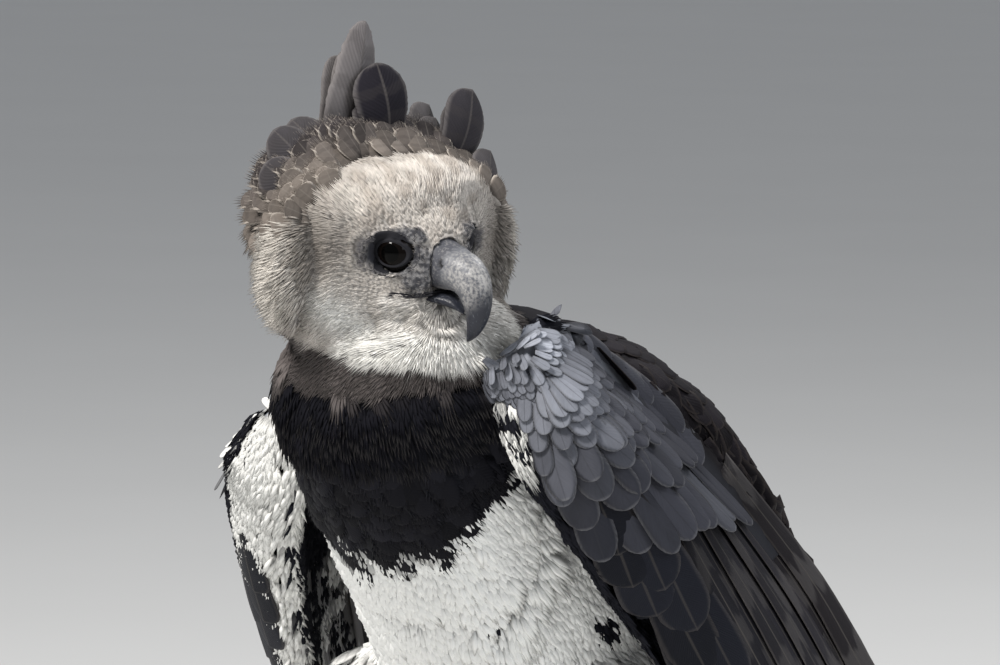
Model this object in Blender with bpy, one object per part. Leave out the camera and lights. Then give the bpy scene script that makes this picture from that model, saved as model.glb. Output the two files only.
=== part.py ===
"""A harpy eagle at life size, standing with drooped wings, its head turned to its own left.

Metres, +Z up. The bird faces -Y, its left side is +X, and z = 0 is the floor under its toes.
Every solid is written in the bird's own frame, whose x = 0 is the middle of its body, and
hangs under one empty that puts the whole bird's box centre over the world's origin.
"""
import math

import bmesh
import bpy
import numpy as np

GAP = 0.0004                    # clear space left between neighbours
WHOLE_SHIFT = (0.0110, -0.085, 0.0)

HEAD_CENTRE = (0.0, -0.200, 0.700)
HEAD_YAW = math.radians(70.0)   # turned to the bird's left
HEAD_PITCH = math.radians(6.0)  # looking slightly down

EYE_CENTRE = (0.0290, 0.0195, 0.0110)      # head frame: forward, sideways, up
EYE_RADIUS = 0.0118
EYE_LOOK = (0.45, 0.89, 0.0)
EYE_OPENING = 0.0098
EYE_SIDES = 12

CULMEN_CENTRE = (0.0550, -0.0100)          # the bill's ridge is an arc in the head's middle plane
CULMEN_RADIUS = 0.0250

TRUNK_SIDES = 20
HEAD_SIDES = 24
FEATHER_THICKNESS = 0.0010
RIGHT_WING_SHIFT = (-0.022, 0.072, -0.050)

TAIL_ROOT = (0.150, 0.312)                 # y, z
TAIL_LENGTH = 0.385
TAIL_SLOPE = math.radians(40.0)
TAIL_FEATHERS = 12

FOOT_CENTRE = (0.078, -0.006)
FOOT_TURN = math.radians(10.0)


def clear_scene():
    for item in list(bpy.data.objects):
        bpy.data.objects.remove(item, do_unlink=True)


def vec(*values):
    return np.array(values, dtype=float)


def unit(v):
    return v / np.linalg.norm(v)


def curve_through(points, t):
    """A smooth curve through the points; t runs from 0 to 1 over all of them."""
    pts = np.array(points, dtype=float)
    last = len(pts) - 1
    x = min(max(t, 0.0), 1.0) * last
    i = min(int(x), last - 1)
    u = x - i
    p1, p2 = pts[i], pts[i + 1]
    p0 = pts[i - 1] if i > 0 else 2 * p1 - p2
    p3 = pts[i + 2] if i + 2 <= last else 2 * p2 - p1
    return 0.5 * ((2 * p1) + (p2 - p0) * u + (2 * p0 - 5 * p1 + 4 * p2 - p3) * u ** 2
                  + (3 * p1 - p0 - 3 * p2 + p3) * u ** 3)


def head_axes():
    forward = vec(math.sin(HEAD_YAW) * math.cos(HEAD_PITCH),
                  -math.cos(HEAD_YAW) * math.cos(HEAD_PITCH), -math.sin(HEAD_PITCH))
    side = vec(math.cos(HEAD_YAW), math.sin(HEAD_YAW), 0.0)
    return forward, side, np.cross(forward, side)


def on_head(f, s, h):
    """A point given as forward, towards the head's left, and up from the head's centre."""
    forward, side, up = head_axes()
    return vec(*HEAD_CENTRE) + forward * f + side * s + up * h


def finish_material(name, colour, roughness, metallic=0.0):
    mat = bpy.data.materials.new(name)
    mat.use_nodes = True
    shader = mat.node_tree.nodes["Principled BSDF"]
    shader.inputs["Base Color"].default_value = (*colour, 1.0)
    shader.inputs["Roughness"].default_value = roughness
    shader.inputs["Metallic"].default_value = metallic
    mat.diffuse_color = (*colour, 1.0)
    return mat


def make_materials():
    return {
        "ash": finish_material("ash_feather", (0.42, 0.39, 0.36), 0.85),
        "black": finish_material("black_feather", (0.030, 0.030, 0.036), 0.8),
        "white": finish_material("white_feather", (0.80, 0.79, 0.76), 0.85),
        "slate": finish_material("slate_feather", (0.095, 0.100, 0.115), 0.75),
        "brown": finish_material("brown_black_feather", (0.050, 0.040, 0.035), 0.75),
        "horn": finish_material("slate_horn", (0.075, 0.085, 0.100), 0.35),
        "claw": finish_material("black_horn", (0.022, 0.022, 0.024), 0.3),
        "eye": finish_material("dark_eye", (0.015, 0.010, 0.008), 0.08),
        "yellow": finish_material("yellow_scale", (0.72, 0.52, 0.16), 0.55),
    }


def solid(name, points, faces, mat, smooth_angle=40.0):
    """One closed body from points and faces, with its faces turned outwards."""
    mesh = bpy.data.meshes.new(name)
    mesh.from_pydata([tuple(p) for p in points], [], faces)
    shape = bmesh.new()
    shape.from_mesh(mesh)
    bmesh.ops.triangulate(shape, faces=[f for f in shape.faces if len(f.verts) > 4])
    bmesh.ops.recalc_face_normals(shape, faces=shape.faces)
    if shape.calc_volume(signed=True) < 0.0:
        bmesh.ops.reverse_faces(shape, faces=shape.faces)
    shape.to_mesh(mesh)
    shape.free()
    mesh.materials.append(mat)
    mesh.shade_smooth()
    mesh.set_sharp_from_angle(angle=math.radians(smooth_angle))
    item = bpy.data.objects.new(name, mesh)
    bpy.context.scene.collection.objects.link(item)
    item.parent = bpy.data.objects["whole_bird"]
    return item


def loft(name, rings, mat, smooth_angle=40.0):
    """A closed skin over rings of equal count, each end closed by a fan about its middle."""
    count = len(rings[0])
    points = [p for ring in rings for p in ring]
    faces = []
    for i in range(len(rings) - 1):
        for j in range(count):
            k = (j + 1) % count
            faces.append((i * count + j, i * count + k, (i + 1) * count + k, (i + 1) * count + j))
    for base, ring in ((0, rings[0]), ((len(rings) - 1) * count, rings[-1])):
        middle = len(points)
        points.append(sum(ring) / count)
        faces += [(base + j, base + (j + 1) % count, middle) for j in range(count)]
    return solid(name, points, faces, mat, smooth_angle)


def shell(name, outer, inner, mat):
    """A closed leaf between two grids of equal size, which meet along all four rims."""
    rows, cols = len(outer), len(outer[0])
    points = [p for row in outer for p in row] + [p for row in inner for p in row]
    back = rows * cols
    faces = []
    for i in range(rows - 1):
        for j in range(cols - 1):
            a, b, c, d = (i * cols + j, i * cols + j + 1, (i + 1) * cols + j + 1, (i + 1) * cols + j)
            faces += [(a, b, c, d), (d + back, c + back, b + back, a + back)]
    rim = [j for j in range(cols)]
    rim += [i * cols + cols - 1 for i in range(1, rows)]
    rim += [(rows - 1) * cols + j for j in range(cols - 2, -1, -1)]
    rim += [i * cols for i in range(rows - 2, 0, -1)]
    for n, a in enumerate(rim):
        b = rim[(n + 1) % len(rim)]
        faces.append((a, b, b + back, a + back))
    return solid(name, points, faces, mat)


def oval(middle, half_a, half_b, count, fullness=2.0):
    """A ring about a middle from two half axes; fullness over 2 makes it squarer."""
    ring = []
    for n in range(count):
        angle = 2 * math.pi * n / count
        c, s = math.cos(angle), math.sin(angle)
        ring.append(middle + half_a * math.copysign(abs(c) ** (2 / fullness), c)
                    + half_b * math.copysign(abs(s) ** (2 / fullness), s))
    return ring


def trim_from(item, others, clearance=GAP):
    """Cuts an item back from its neighbours, a gap clear of each."""
    for other in others:
        cutter = bpy.data.objects.get("cut_" + other.name)
        if cutter is None:
            mesh = other.data.copy()
            shape = bmesh.new()
            shape.from_mesh(mesh)
            shape.normal_update()
            moved = [(v, v.co + v.normal * clearance) for v in shape.verts]
            for v, place in moved:
                v.co = place
            shape.to_mesh(mesh)
            shape.free()
            cutter = bpy.data.objects.new("cut_" + other.name, mesh)
            bpy.context.scene.collection.objects.link(cutter)
            cutter.parent = bpy.data.objects["whole_bird"]
            guide(cutter)
        cut = item.modifiers.new("clear_of_" + other.name, "BOOLEAN")
        cut.operation = "DIFFERENCE"
        cut.solver = "EXACT"
        cut.object = cutter


# The trunk: each station is its front and back in the middle plane (y, z), and its half width.
TRUNK = [
    ((-0.252, 0.660), (-0.152, 0.700), 0.048),
    ((-0.260, 0.630), (-0.136, 0.684), 0.060),
    ((-0.254, 0.600), (-0.112, 0.674), 0.067),
    ((-0.224, 0.562), (-0.066, 0.664), 0.076),
    ((-0.186, 0.522), (-0.014, 0.644), 0.084),
    ((-0.144, 0.470), (0.044, 0.608), 0.090),
    ((-0.096, 0.412), (0.094, 0.556), 0.091),
    ((-0.040, 0.360), (0.134, 0.500), 0.086),
    ((0.024, 0.320), (0.164, 0.446), 0.074),
    ((0.082, 0.296), (0.190, 0.394), 0.058),
    ((0.128, 0.280), (0.206, 0.352), 0.046),
    ((0.176, 0.254), (0.226, 0.314), 0.040),
    ((0.226, 0.224), (0.254, 0.268), 0.032),
]
TRUNK_LENGTHS = (("neck", 0.0, 2.0, 3, "black"), ("breast", 2.0, 4.4, 4, "black"),
                 ("belly", 4.4, 7.6, 5, "white"), ("rump", 7.6, 12.0, 5, "white"))
TRUNK_FULLNESS = 2.25


def trunk_ring(station):
    """The trunk's ring at a station; the stations count along TRUNK."""
    t = station / (len(TRUNK) - 1)
    front = curve_through([s[0] for s in TRUNK], t)
    back = curve_through([s[1] for s in TRUNK], t)
    width = curve_through([(s[2],) for s in TRUNK], t)[0]
    front, back = vec(0, *front), vec(0, *back)
    middle = (front + back) / 2
    return oval(middle, front - middle, vec(width, 0, 0), TRUNK_SIDES, TRUNK_FULLNESS)


def guide(item):
    """Marks a shape that only cuts or measures others."""
    item.hide_render = True
    item.display_type = "WIRE"
    return item


def make_trunk(mats):
    """The trunk in four lengths, half a gap short where they meet, and its whole outline as a guide."""
    lengths, outline = [], []
    for name, start, end, steps, tone in TRUNK_LENGTHS:
        rings = [trunk_ring(start + (end - start) * n / steps) for n in range(steps + 1)]
        outline += rings if not outline else rings[1:]
        if start > 0:
            along = unit(sum(rings[1]) - sum(rings[0]))
            rings[0] = [p + along * GAP / 2 for p in rings[0]]
        if end < len(TRUNK) - 1:
            along = unit(sum(rings[-2]) - sum(rings[-1]))
            rings[-1] = [p + along * GAP / 2 for p in rings[-1]]
        lengths.append(loft(name, rings, mats[tone]))
    return guide(loft("trunk_envelope", outline, mats["white"])), lengths


# The head: forward place, half width, top and bottom, in the head frame.
HOOD = [(0.0080, 0.0860, 0.0575, -0.0560), (0.0000, 0.0880, 0.0590, -0.0570),
        (-0.0110, 0.0840, 0.0600, -0.0570), (-0.0230, 0.0755, 0.0585, -0.0540),
        (-0.0360, 0.0620, 0.0520, -0.0480), (-0.0480, 0.0430, 0.0400, -0.0370),
        (-0.0560, 0.0230, 0.0240, -0.0230), (-0.0590, 0.0080, 0.0080, -0.0080)]
FACE = [(0.0084, 0.0858, 0.0575, -0.0560), (0.0130, 0.0760, 0.0570, -0.0535),
        (0.0190, 0.0620, 0.0550, -0.0490), (0.0250, 0.0490, 0.0510, -0.0430),
        (0.0300, 0.0390, 0.0455, -0.0380), (0.0345, 0.0320, 0.0385, -0.0340),
        (0.0400, 0.0260, 0.0305, -0.0290), (0.0450, 0.0205, 0.0245, -0.0250),
        (0.0490, 0.0150, 0.0200, -0.0225)]


def head_rings(stations):
    forward, side, up = head_axes()
    rings = []
    for f, w, top, bottom in stations:
        middle = on_head(f, 0.0, (top + bottom) / 2)
        rings.append(oval(middle, up * (top - bottom) / 2, side * w, HEAD_SIDES, 2.15))
    return rings


def make_head(mats):
    make_eyes(mats)
    bill = make_bill(mats)
    hood = loft("hood", head_rings(HOOD), mats["ash"])
    face = loft("face", head_rings(FACE), mats["ash"])
    for side_sign in (1, -1):
        cut = face.modifiers.new("eye_socket", "BOOLEAN")
        cut.operation = "DIFFERENCE"
        cut.solver = "EXACT"
        cut.object = socket_cutter(side_sign, mats["eye"])
    trim_from(face, bill)
    return guide(loft("head_envelope", head_rings(FACE[::-1] + HOOD[1:]), mats["ash"])), bill


def eye_place(side_sign):
    f, s, h = EYE_CENTRE
    return on_head(f, side_sign * s, h)


def eye_look(side_sign):
    forward, side, up = head_axes()
    f, s, h = EYE_LOOK
    return unit(forward * f + side * s * side_sign + up * h)


def round_about(middle, look, rings, count):
    """Rings about an eye's line of sight; each ring is its place along the line and its radius."""
    across = unit(np.cross(look, vec(0, 0, 1)))
    rise = np.cross(across, look)
    return [oval(middle + look * along, across * radius, rise * radius, count) for along, radius in rings]


def ball_rings(radius, first, last, steps):
    """Places and radii of rings on a ball, from one polar angle in degrees to another."""
    angles = [math.radians(first + (last - first) * n / steps) for n in range(steps + 1)]
    return [(radius * math.cos(a), radius * math.sin(a)) for a in angles]


def make_eyes(mats):
    for side_sign, name in ((1, "eye_left"), (-1, "eye_right")):
        rings = round_about(eye_place(side_sign), eye_look(side_sign),
                            ball_rings(EYE_RADIUS, 14, 166, 5), EYE_SIDES)
        loft(name, rings, mats["eye"])


def socket_cutter(side_sign, mat):
    """The eye's hollow in the face: a ball a gap larger than the eye, open between the lids."""
    room = EYE_RADIUS + GAP
    places = ball_rings(room, 166, 54, 4)
    places += [(room * 0.60, EYE_OPENING), (EYE_RADIUS * 1.15, EYE_OPENING * 1.1), (EYE_RADIUS * 2.0, EYE_OPENING * 1.4)]
    rings = round_about(eye_place(side_sign), eye_look(side_sign), places, EYE_SIDES)
    return guide(loft("cut_socket_%s" % ("left" if side_sign > 0 else "right"), rings, mat))


# The bill's stations: ridge point and cutting edge (forward, up), and half width.
CERE = [((0.0420, 0.0190), (0.0420, -0.0082), 0.0126), ((0.0475, 0.0170), (0.0470, -0.0078), 0.0122)]
RIDGE_TURNS = (85, 66, 47, 28, 9, -9, -26, -42, -54, -61)
CUTTING_EDGE = [(0.0540, -0.0072), (0.0590, -0.0078), (0.0628, -0.0105), (0.0650, -0.0142),
                (0.0662, -0.0182), (0.0666, -0.0222), (0.0664, -0.0256), (0.0662, -0.0284),
                (0.0660, -0.0305), (0.0662, -0.0318)]
BILL_WIDTHS = (0.0115, 0.0104, 0.0092, 0.0079, 0.0065, 0.0052, 0.0040, 0.0028, 0.0018, 0.0008)
LOWER_BILL = [((0.0340, -0.0110), (0.0340, -0.0216), 0.0130), ((0.0410, -0.0096), (0.0410, -0.0223), 0.0118),
              ((0.0480, -0.0090), (0.0490, -0.0226), 0.0100), ((0.0550, -0.0094), (0.0560, -0.0222), 0.0076),
              ((0.0600, -0.0130), (0.0612, -0.0213), 0.0052), ((0.0632, -0.0170), (0.0640, -0.0200), 0.0022)]


def bill_ring(top, bottom, width, fullness=2.0):
    forward, side, up = head_axes()
    high = on_head(top[0], 0.0, top[1])
    low = on_head(bottom[0], 0.0, bottom[1])
    middle = (high + low) / 2
    return oval(middle, high - middle, side * width, 12, fullness)


def make_bill(mats):
    rings = [bill_ring(top, bottom, width) for top, bottom, width in CERE]
    for turn, edge, width in zip(RIDGE_TURNS, CUTTING_EDGE, BILL_WIDTHS):
        angle = math.radians(turn)
        ridge = (CULMEN_CENTRE[0] + CULMEN_RADIUS * math.cos(angle),
                 CULMEN_CENTRE[1] + CULMEN_RADIUS * math.sin(angle))
        rings.append(bill_ring(ridge, edge, width))
    upper = loft("bill_upper", rings, mats["horn"])
    lower = loft("bill_lower", [bill_ring(*s) for s in LOWER_BILL], mats["horn"])
    trim_from(lower, [upper])
    return [upper, lower]


# Crest feathers: foot (forward, side, up), tip, widest half width, and how far back each leans.
CREST = [
    ("outer_right", (-0.012, -0.050, 0.030), (-0.021, -0.072, 0.051), 0.0120),
    ("mid_right", (-0.018, -0.040, 0.040), (-0.029, -0.060, 0.067), 0.0125),
    ("inner_right", (-0.024, -0.027, 0.046), (-0.037, -0.041, 0.070), 0.0125),
    ("tall", (-0.034, -0.014, 0.048), (-0.042, 0.011, 0.119), 0.0150),
    ("middle", (-0.022, 0.014, 0.050), (-0.028, 0.008, 0.099), 0.0190),
    ("inner_left", (-0.030, 0.036, 0.044), (-0.038, 0.057, 0.072), 0.0130),
    ("mid_left", (-0.023, 0.042, 0.042), (-0.031, 0.056, 0.066), 0.0130),
    ("outer_left", (-0.016, 0.052, 0.038), (-0.022, 0.073, 0.082), 0.0165),
    ("low_left", (-0.008, 0.062, 0.024), (-0.012, 0.080, 0.050), 0.0120),
]
CREST_ROWS = 6


def vane_width(t, roundness=0.55):
    """A feather's half width along its length, from foot 0 to tip 1, as a share of its widest."""
    rise = min(1.0, 0.35 + 1.3 * t)
    fall = max(0.0, 1.0 - ((t - roundness) / (1.0 - roundness)) ** 2.6) if t > roundness else 1.0
    return rise * math.sqrt(fall) if fall < 1.0 else rise


def make_crest(mats, head):
    forward, side, up = head_axes()
    feathers = []
    for label, foot, tip, half in CREST:
        start, end = on_head(*foot), on_head(*tip)
        along = unit(end - start)
        across = unit(np.cross(forward, along))
        out = unit(np.cross(along, across))
        outer, inner = [], []
        for i in range(CREST_ROWS + 1):
            t = i / CREST_ROWS
            arch = forward * 0.006 * math.sin(math.pi * t)
            middle = start + (end - start) * t + arch
            width = half * max(vane_width(t), 0.12)
            row = [middle + across * width * k - out * 0.10 * half * k * k for k in (-1, 0, 1)]
            outer.append([p + out * FEATHER_THICKNESS / 2 for p in row])
            inner.append([p - out * FEATHER_THICKNESS / 2 for p in row])
        item = shell("crest_" + label, outer, inner, mats["slate"])
        trim_from(item, [head])
        feathers.append(item)
    return feathers


# The left wing's front edge and its top and trailing edge, from the shoulder to the tip.
WING_FRONT = [(0.070, -0.214, 0.650), (0.077, -0.208, 0.614), (0.086, -0.201, 0.590), (0.096, -0.180, 0.559),
              (0.105, -0.153, 0.524), (0.114, -0.119, 0.4865), (0.128, -0.062, 0.425), (0.143, -0.002, 0.360),
              (0.154, 0.058, 0.302), (0.161, 0.112, 0.258), (0.163, 0.155, 0.226)]
WING_TRAIL = [(0.072, -0.190, 0.668), (0.084, -0.168, 0.674), (0.098, -0.122, 0.6435), (0.117, -0.067, 0.6015),
              (0.132, -0.028, 0.5608), (0.150, 0.019, 0.509), (0.162, 0.052, 0.464), (0.172, 0.098, 0.404),
              (0.178, 0.142, 0.345), (0.180, 0.178, 0.296), (0.178, 0.204, 0.256)]
WING_THICKNESS = [(0.030,), (0.042,), (0.044,), (0.040,), (0.034,), (0.028,), (0.021,), (0.015,),
                  (0.010,), (0.007,), (0.005,)]
WING_CAMBER = [(0.006,), (0.014,), (0.018,), (0.019,), (0.018,), (0.016,), (0.014,), (0.012,),
               (0.009,), (0.006,), (0.004,)]
WING_PARTS = (("coverts", 0.0, 0.47, 8, "slate"), ("secondaries", 0.47, 0.70, 4, "slate"))
PRIMARIES_START = 0.70
PRIMARY_FINGERS = 6
TRAIL_THICKNESS = 0.0030
NOSE_SHARE = 0.22


def wing_section(p, q):
    """The left wing's outer and inner points, p along it and q from front to trailing edge."""
    front, trail = curve_through(WING_FRONT, p), curve_through(WING_TRAIL, p)
    ahead = curve_through(WING_FRONT, min(p + 0.04, 1.0)) - curve_through(WING_FRONT, max(p - 0.04, 0.0))
    out = unit(np.cross(trail - front, ahead))
    out = out if out[0] > 0 else -out
    thick = curve_through(WING_THICKNESS, p)[0]
    camber = curve_through(WING_CAMBER, p)[0]
    if q < NOSE_SHARE:
        depth = thick * math.sqrt(max(0.0, 1 - ((NOSE_SHARE - q) / NOSE_SHARE) ** 2))
    else:
        fall = (q - NOSE_SHARE) / (1 - NOSE_SHARE)
        depth = thick + (TRAIL_THICKNESS - thick) * (1 - (1 - fall) ** 1.5)
    place = front + (trail - front) * q + out * camber * math.sin(math.pi * min(q * 1.15, 1.0))
    return place + out * depth / 2, place - out * depth / 2


def sided(points, side_sign):
    """Turns a left wing point list into the wing asked for; the right one hangs lower."""
    if side_sign > 0:
        return points
    return [p * vec(-1, 1, 1) + vec(*RIGHT_WING_SHIFT) for p in points]


def wing_ring(p, side_sign):
    shares = [0.0, 0.05, 0.13, 0.24, 0.40, 0.58, 0.76, 0.90, 1.0]
    pairs = [wing_section(p, q) for q in shares]
    ring = [pair[0] for pair in pairs] + [pair[1] for pair in reversed(pairs[1:])]
    return sided(ring, side_sign)


def finger_end(q):
    """Where the primaries end along the wing: a rounded tip cut into feather ends."""
    rounding = 1.0 - 0.075 * abs((q - 0.42) / 0.58) ** 2.2
    notch = abs(math.sin(math.pi * q * PRIMARY_FINGERS))
    return rounding - 0.022 * (1.0 - notch ** 0.6)


def make_wing(side_sign, mats, neighbours):
    label = "left" if side_sign > 0 else "right"
    parts = []
    for name, start, end, steps, tone in WING_PARTS:
        rings = []
        for n in range(steps + 1):
            p = start + (end - start) * n / steps
            inset = GAP if (n == steps) else 0.0
            rings.append(wing_ring(p - inset * 2.2, side_sign))
        item = loft("wing_%s_%s" % (label, name), rings, mats[tone])
        parts.append(item)
    cols = 2 * PRIMARY_FINGERS + 1
    outer, inner = [], []
    rows = 4
    for i in range(rows + 1):
        row = []
        for j in range(cols):
            q = 0.004 + 0.992 * j / (cols - 1)
            p = PRIMARIES_START + (finger_end(q) - PRIMARIES_START) * i / rows
            row.append(wing_section(p, max(q, 0.03)))
        outer.append(sided([pair[0] for pair in row], side_sign))
        inner.append(sided([pair[1] for pair in row], side_sign))
    parts.append(shell("wing_%s_primaries" % label, outer, inner, mats["slate"]))
    for item in parts:
        trim_from(item, neighbours)
    return parts


# The shoulder pad on the left of the back: middle, half width and half height along its length.
SCAPULARS = [((0.046, -0.132, 0.656), 0.010, 0.007), ((0.052, -0.100, 0.645), 0.036, 0.018),
             ((0.060, -0.056, 0.626), 0.046, 0.023), ((0.070, -0.010, 0.597), 0.050, 0.023),
             ((0.080, 0.034, 0.558), 0.044, 0.019), ((0.088, 0.070, 0.520), 0.030, 0.013),
             ((0.092, 0.096, 0.492), 0.014, 0.007), ((0.093, 0.106, 0.480), 0.006, 0.004)]
RIGHT_PAD_SHIFT = (-0.002, 0.020, -0.012)


def make_scapulars(side_sign, mats, neighbours):
    rings = []
    for middle, half, height in SCAPULARS:
        place = vec(*middle)
        if side_sign < 0:
            place = (place + vec(*RIGHT_PAD_SHIFT)) * vec(-1, 1, 1)
        out = unit(vec(0.35 * side_sign, 0.52, 0.78))
        across = unit(np.cross(out, vec(0.10 * side_sign, 0.70, -0.62)))
        rings.append(oval(place, out * height, across * half, 14))
    item = loft("scapulars_" + ("left" if side_sign > 0 else "right"), rings, mats["brown"])
    trim_from(item, neighbours)
    return item


TERTIAL_SPAN = (0.20, 0.66)
TERTIAL_REACH = (-0.062, 0.026, -0.004)


def make_tertials(side_sign, mats, neighbours):
    """The innermost flight feathers: a leaf from the wing's trailing edge in over the back."""
    outer, inner = [], []
    rows, cols = 7, 4
    for i in range(rows + 1):
        t = i / rows
        p = TERTIAL_SPAN[0] + (TERTIAL_SPAN[1] - TERTIAL_SPAN[0]) * t
        top, under = wing_section(p, 1.0)
        depth = unit(top - under)
        start = under - depth * GAP
        reach = vec(*TERTIAL_REACH) * (0.25 + 0.75 * math.sin(math.pi * min(1.0, 0.18 + 0.92 * t)))
        top_row, under_row = [], []
        for j in range(cols + 1):
            k = j / cols
            place = start - depth * 0.0015 + reach * k - depth * 0.010 * math.sin(math.pi * k) * (1 - t)
            thick = 0.0030 * (1 - 0.4 * k)
            top_row.append(place + vec(0, 0, thick / 2) * k + depth * thick / 2 * (1 - k))
            under_row.append(place - vec(0, 0, thick / 2) * k - depth * thick / 2 * (1 - k))
        outer.append(sided(top_row, side_sign))
        inner.append(sided(under_row, side_sign))
    item = shell("tertials_" + ("left" if side_sign > 0 else "right"), outer, inner, mats["brown"])
    trim_from(item, neighbours)


def make_tail(mats, neighbours):
    """A gently roofed fan of rectrices, thick at its root and thin at its rounded feather ends."""
    down = vec(0, math.cos(TAIL_SLOPE), -math.sin(TAIL_SLOPE))
    over = vec(0, math.sin(TAIL_SLOPE), math.cos(TAIL_SLOPE))
    cols, rows = 2 * TAIL_FEATHERS + 1, 4
    outer, inner = [], []
    for i in range(rows + 1):
        top_row, under_row = [], []
        for j in range(cols):
            k = -1 + 2 * j / (cols - 1)
            end = 1.0 - 0.055 * abs(k) ** 2.4
            notch = abs(math.sin(math.pi * (k + 1) / 2 * TAIL_FEATHERS))
            end -= 0.012 * (1 - notch ** 0.7)
            t = end * i / rows
            half = 0.030 + (0.070 - 0.030) * t ** 0.75
            lift = 0.016 * (1 - abs(k) ** 1.8) - 0.004
            thick = (0.022 * (1 - t) ** 1.6 + 0.0032) * (1 - 0.55 * abs(k) ** 3)
            place = vec(0, *TAIL_ROOT) + down * TAIL_LENGTH * t + vec(half * k, 0, 0) + over * lift
            top_row.append(place + over * thick / 2)
            under_row.append(place - over * thick / 2)
        outer.append(top_row)
        inner.append(under_row)
    item = shell("tail", outer, inner, mats["black"])
    trim_from(item, neighbours)
    return item


# The left thigh: middle, then half width and half depth.
THIGH = [((0.058, -0.036, 0.486), 0.016, 0.030), ((0.064, -0.042, 0.466), 0.034, 0.062),
         ((0.068, -0.037, 0.425), 0.043, 0.076), ((0.071, -0.027, 0.365), 0.046, 0.075),
         ((0.072, -0.012, 0.300), 0.043, 0.064), ((0.071, 0.008, 0.240), 0.036, 0.050),
         ((0.070, 0.026, 0.190), 0.028, 0.036), ((0.069, 0.037, 0.158), 0.022, 0.026),
         ((0.068, 0.042, 0.144), 0.016, 0.018)]
SHANK = [((0.068, 0.0450, 0.1500), 0.0135, 0.0150), ((0.069, 0.0410, 0.1360), 0.0140, 0.0150),
         ((0.071, 0.0320, 0.1120), 0.0120, 0.0130), ((0.074, 0.0170, 0.0780), 0.0118, 0.0125),
         ((0.076, 0.0060, 0.0520), 0.0135, 0.0145), ((0.077, -0.0030, 0.0340), 0.0190, 0.0205),
         ((0.078, -0.0060, 0.0200), 0.0255, 0.0265), ((0.078, -0.0060, 0.0070), 0.0260, 0.0270),
         ((0.078, -0.0060, 0.0000), 0.0220, 0.0230)]


def upright_loft(name, stations, side_sign, count, mat):
    rings = []
    for middle, half_x, half_y in stations:
        place = vec(middle[0] * side_sign, middle[1], middle[2])
        rings.append(oval(place, vec(0, -half_y, 0), vec(half_x, 0, 0), count))
    return loft(name, rings, mat)


# Toes: turn from straight ahead (towards the body's outside), length, radius, claw bend radius.
TOES = [("inner", -41.0, 0.070, 0.0092, 0.0350), ("middle", 0.0, 0.086, 0.0088, 0.0300),
        ("outer", 41.0, 0.066, 0.0082, 0.0270), ("hind", 176.0, 0.058, 0.0100, 0.0410)]
TOE_SIDES = 8
CLAW_SIDES = 6
CLAW_STEPS = 5
CLAW_RISE = math.radians(18.0)
CLAW_END = math.radians(-68.0)
TOE_START = 0.012
TOE_STEPS = 6


def toe_way(side_sign, turn):
    angle = math.radians(turn) + FOOT_TURN
    return vec(math.sin(angle) * side_sign, -math.cos(angle), 0)


def make_foot(side_sign, mats, shank):
    label = "left" if side_sign > 0 else "right"
    foot = vec(FOOT_CENTRE[0] * side_sign, FOOT_CENTRE[1], 0)
    for name, turn, length, radius, bend in TOES:
        way = toe_way(side_sign, turn)
        across = vec(-way[1], way[0], 0)
        drop = bend * (math.cos(CLAW_RISE) - math.cos(CLAW_END)) * 1.0
        end_height = abs(drop) + 0.0024
        rings = []
        for n in range(TOE_STEPS + 1):
            t = n / TOE_STEPS
            along = TOE_START + (length - TOE_START) * t
            joint = 1.0 + 0.10 * math.cos(2 * math.pi * t * 2.5)
            size = radius * joint * (1.0 - 0.22 * t)
            height = size * 0.90 + (end_height - size * 0.90) * max(0.0, (t - 0.45) / 0.55) ** 1.6
            middle = foot + way * along + vec(0, 0, height)
            ring = oval(middle, across * size, vec(0, 0, size), TOE_SIDES)
            rings.append([vec(p[0], p[1], max(p[2], 0.0)) for p in ring])
        toe = loft("toe_%s_%s" % (label, name), rings, mats["yellow"])
        trim_from(toe, [shank])
        make_claw("claw_%s_%s" % (label, name), foot + way * (length - 0.004) + vec(0, 0, end_height),
                  way, across, bend, radius * 0.74, mats, toe)


def make_claw(name, start, way, across, bend, thick, mats, toe):
    """A talon: a circle's arc in the toe's upright plane, tapering to its point."""
    rings = []
    for n in range(CLAW_STEPS + 1):
        t = n / CLAW_STEPS
        angle = CLAW_RISE + (CLAW_END - CLAW_RISE) * t
        reach = bend * (math.sin(CLAW_RISE) - math.sin(angle))
        rise = bend * (math.cos(angle) - math.cos(CLAW_RISE))
        normal = way * -math.sin(angle) + vec(0, 0, math.cos(angle))
        size = thick * (1.0 - t) ** 0.75 + 0.0007
        middle = start + way * reach + vec(0, 0, rise)
        ring = oval(middle, across * size * 0.72, normal * size, CLAW_SIDES)
        rings.append([vec(p[0], p[1], max(p[2], 0.0)) for p in ring])
    claw = loft(name, rings, mats["claw"])
    trim_from(claw, [toe])


def build():
    clear_scene()
    whole = bpy.data.objects.new("whole_bird", None)
    bpy.context.scene.collection.objects.link(whole)
    whole.location = WHOLE_SHIFT
    mats = make_materials()
    head, bill = make_head(mats)
    make_crest(mats, head)
    trunk, (neck, breast, _, rump) = make_trunk(mats)
    trim_from(neck, [head, *bill])
    trim_from(breast, [head])
    make_tail(mats, [rump])
    for side_sign in (1, -1):
        label = "left" if side_sign > 0 else "right"
        thigh = upright_loft("thigh_" + label, THIGH, side_sign, 12, mats["white"])
        trim_from(thigh, [trunk])
        shank = upright_loft("shank_" + label, SHANK, side_sign, 10, mats["yellow"])
        trim_from(shank, [thigh])
        make_foot(side_sign, mats, shank)
        wing = make_wing(side_sign, mats, [head, trunk, thigh])
        pad = make_scapulars(side_sign, mats, [head, trunk, *wing[:2]])
        make_tertials(side_sign, mats, [trunk, pad, *wing[:2]])


build()
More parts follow.
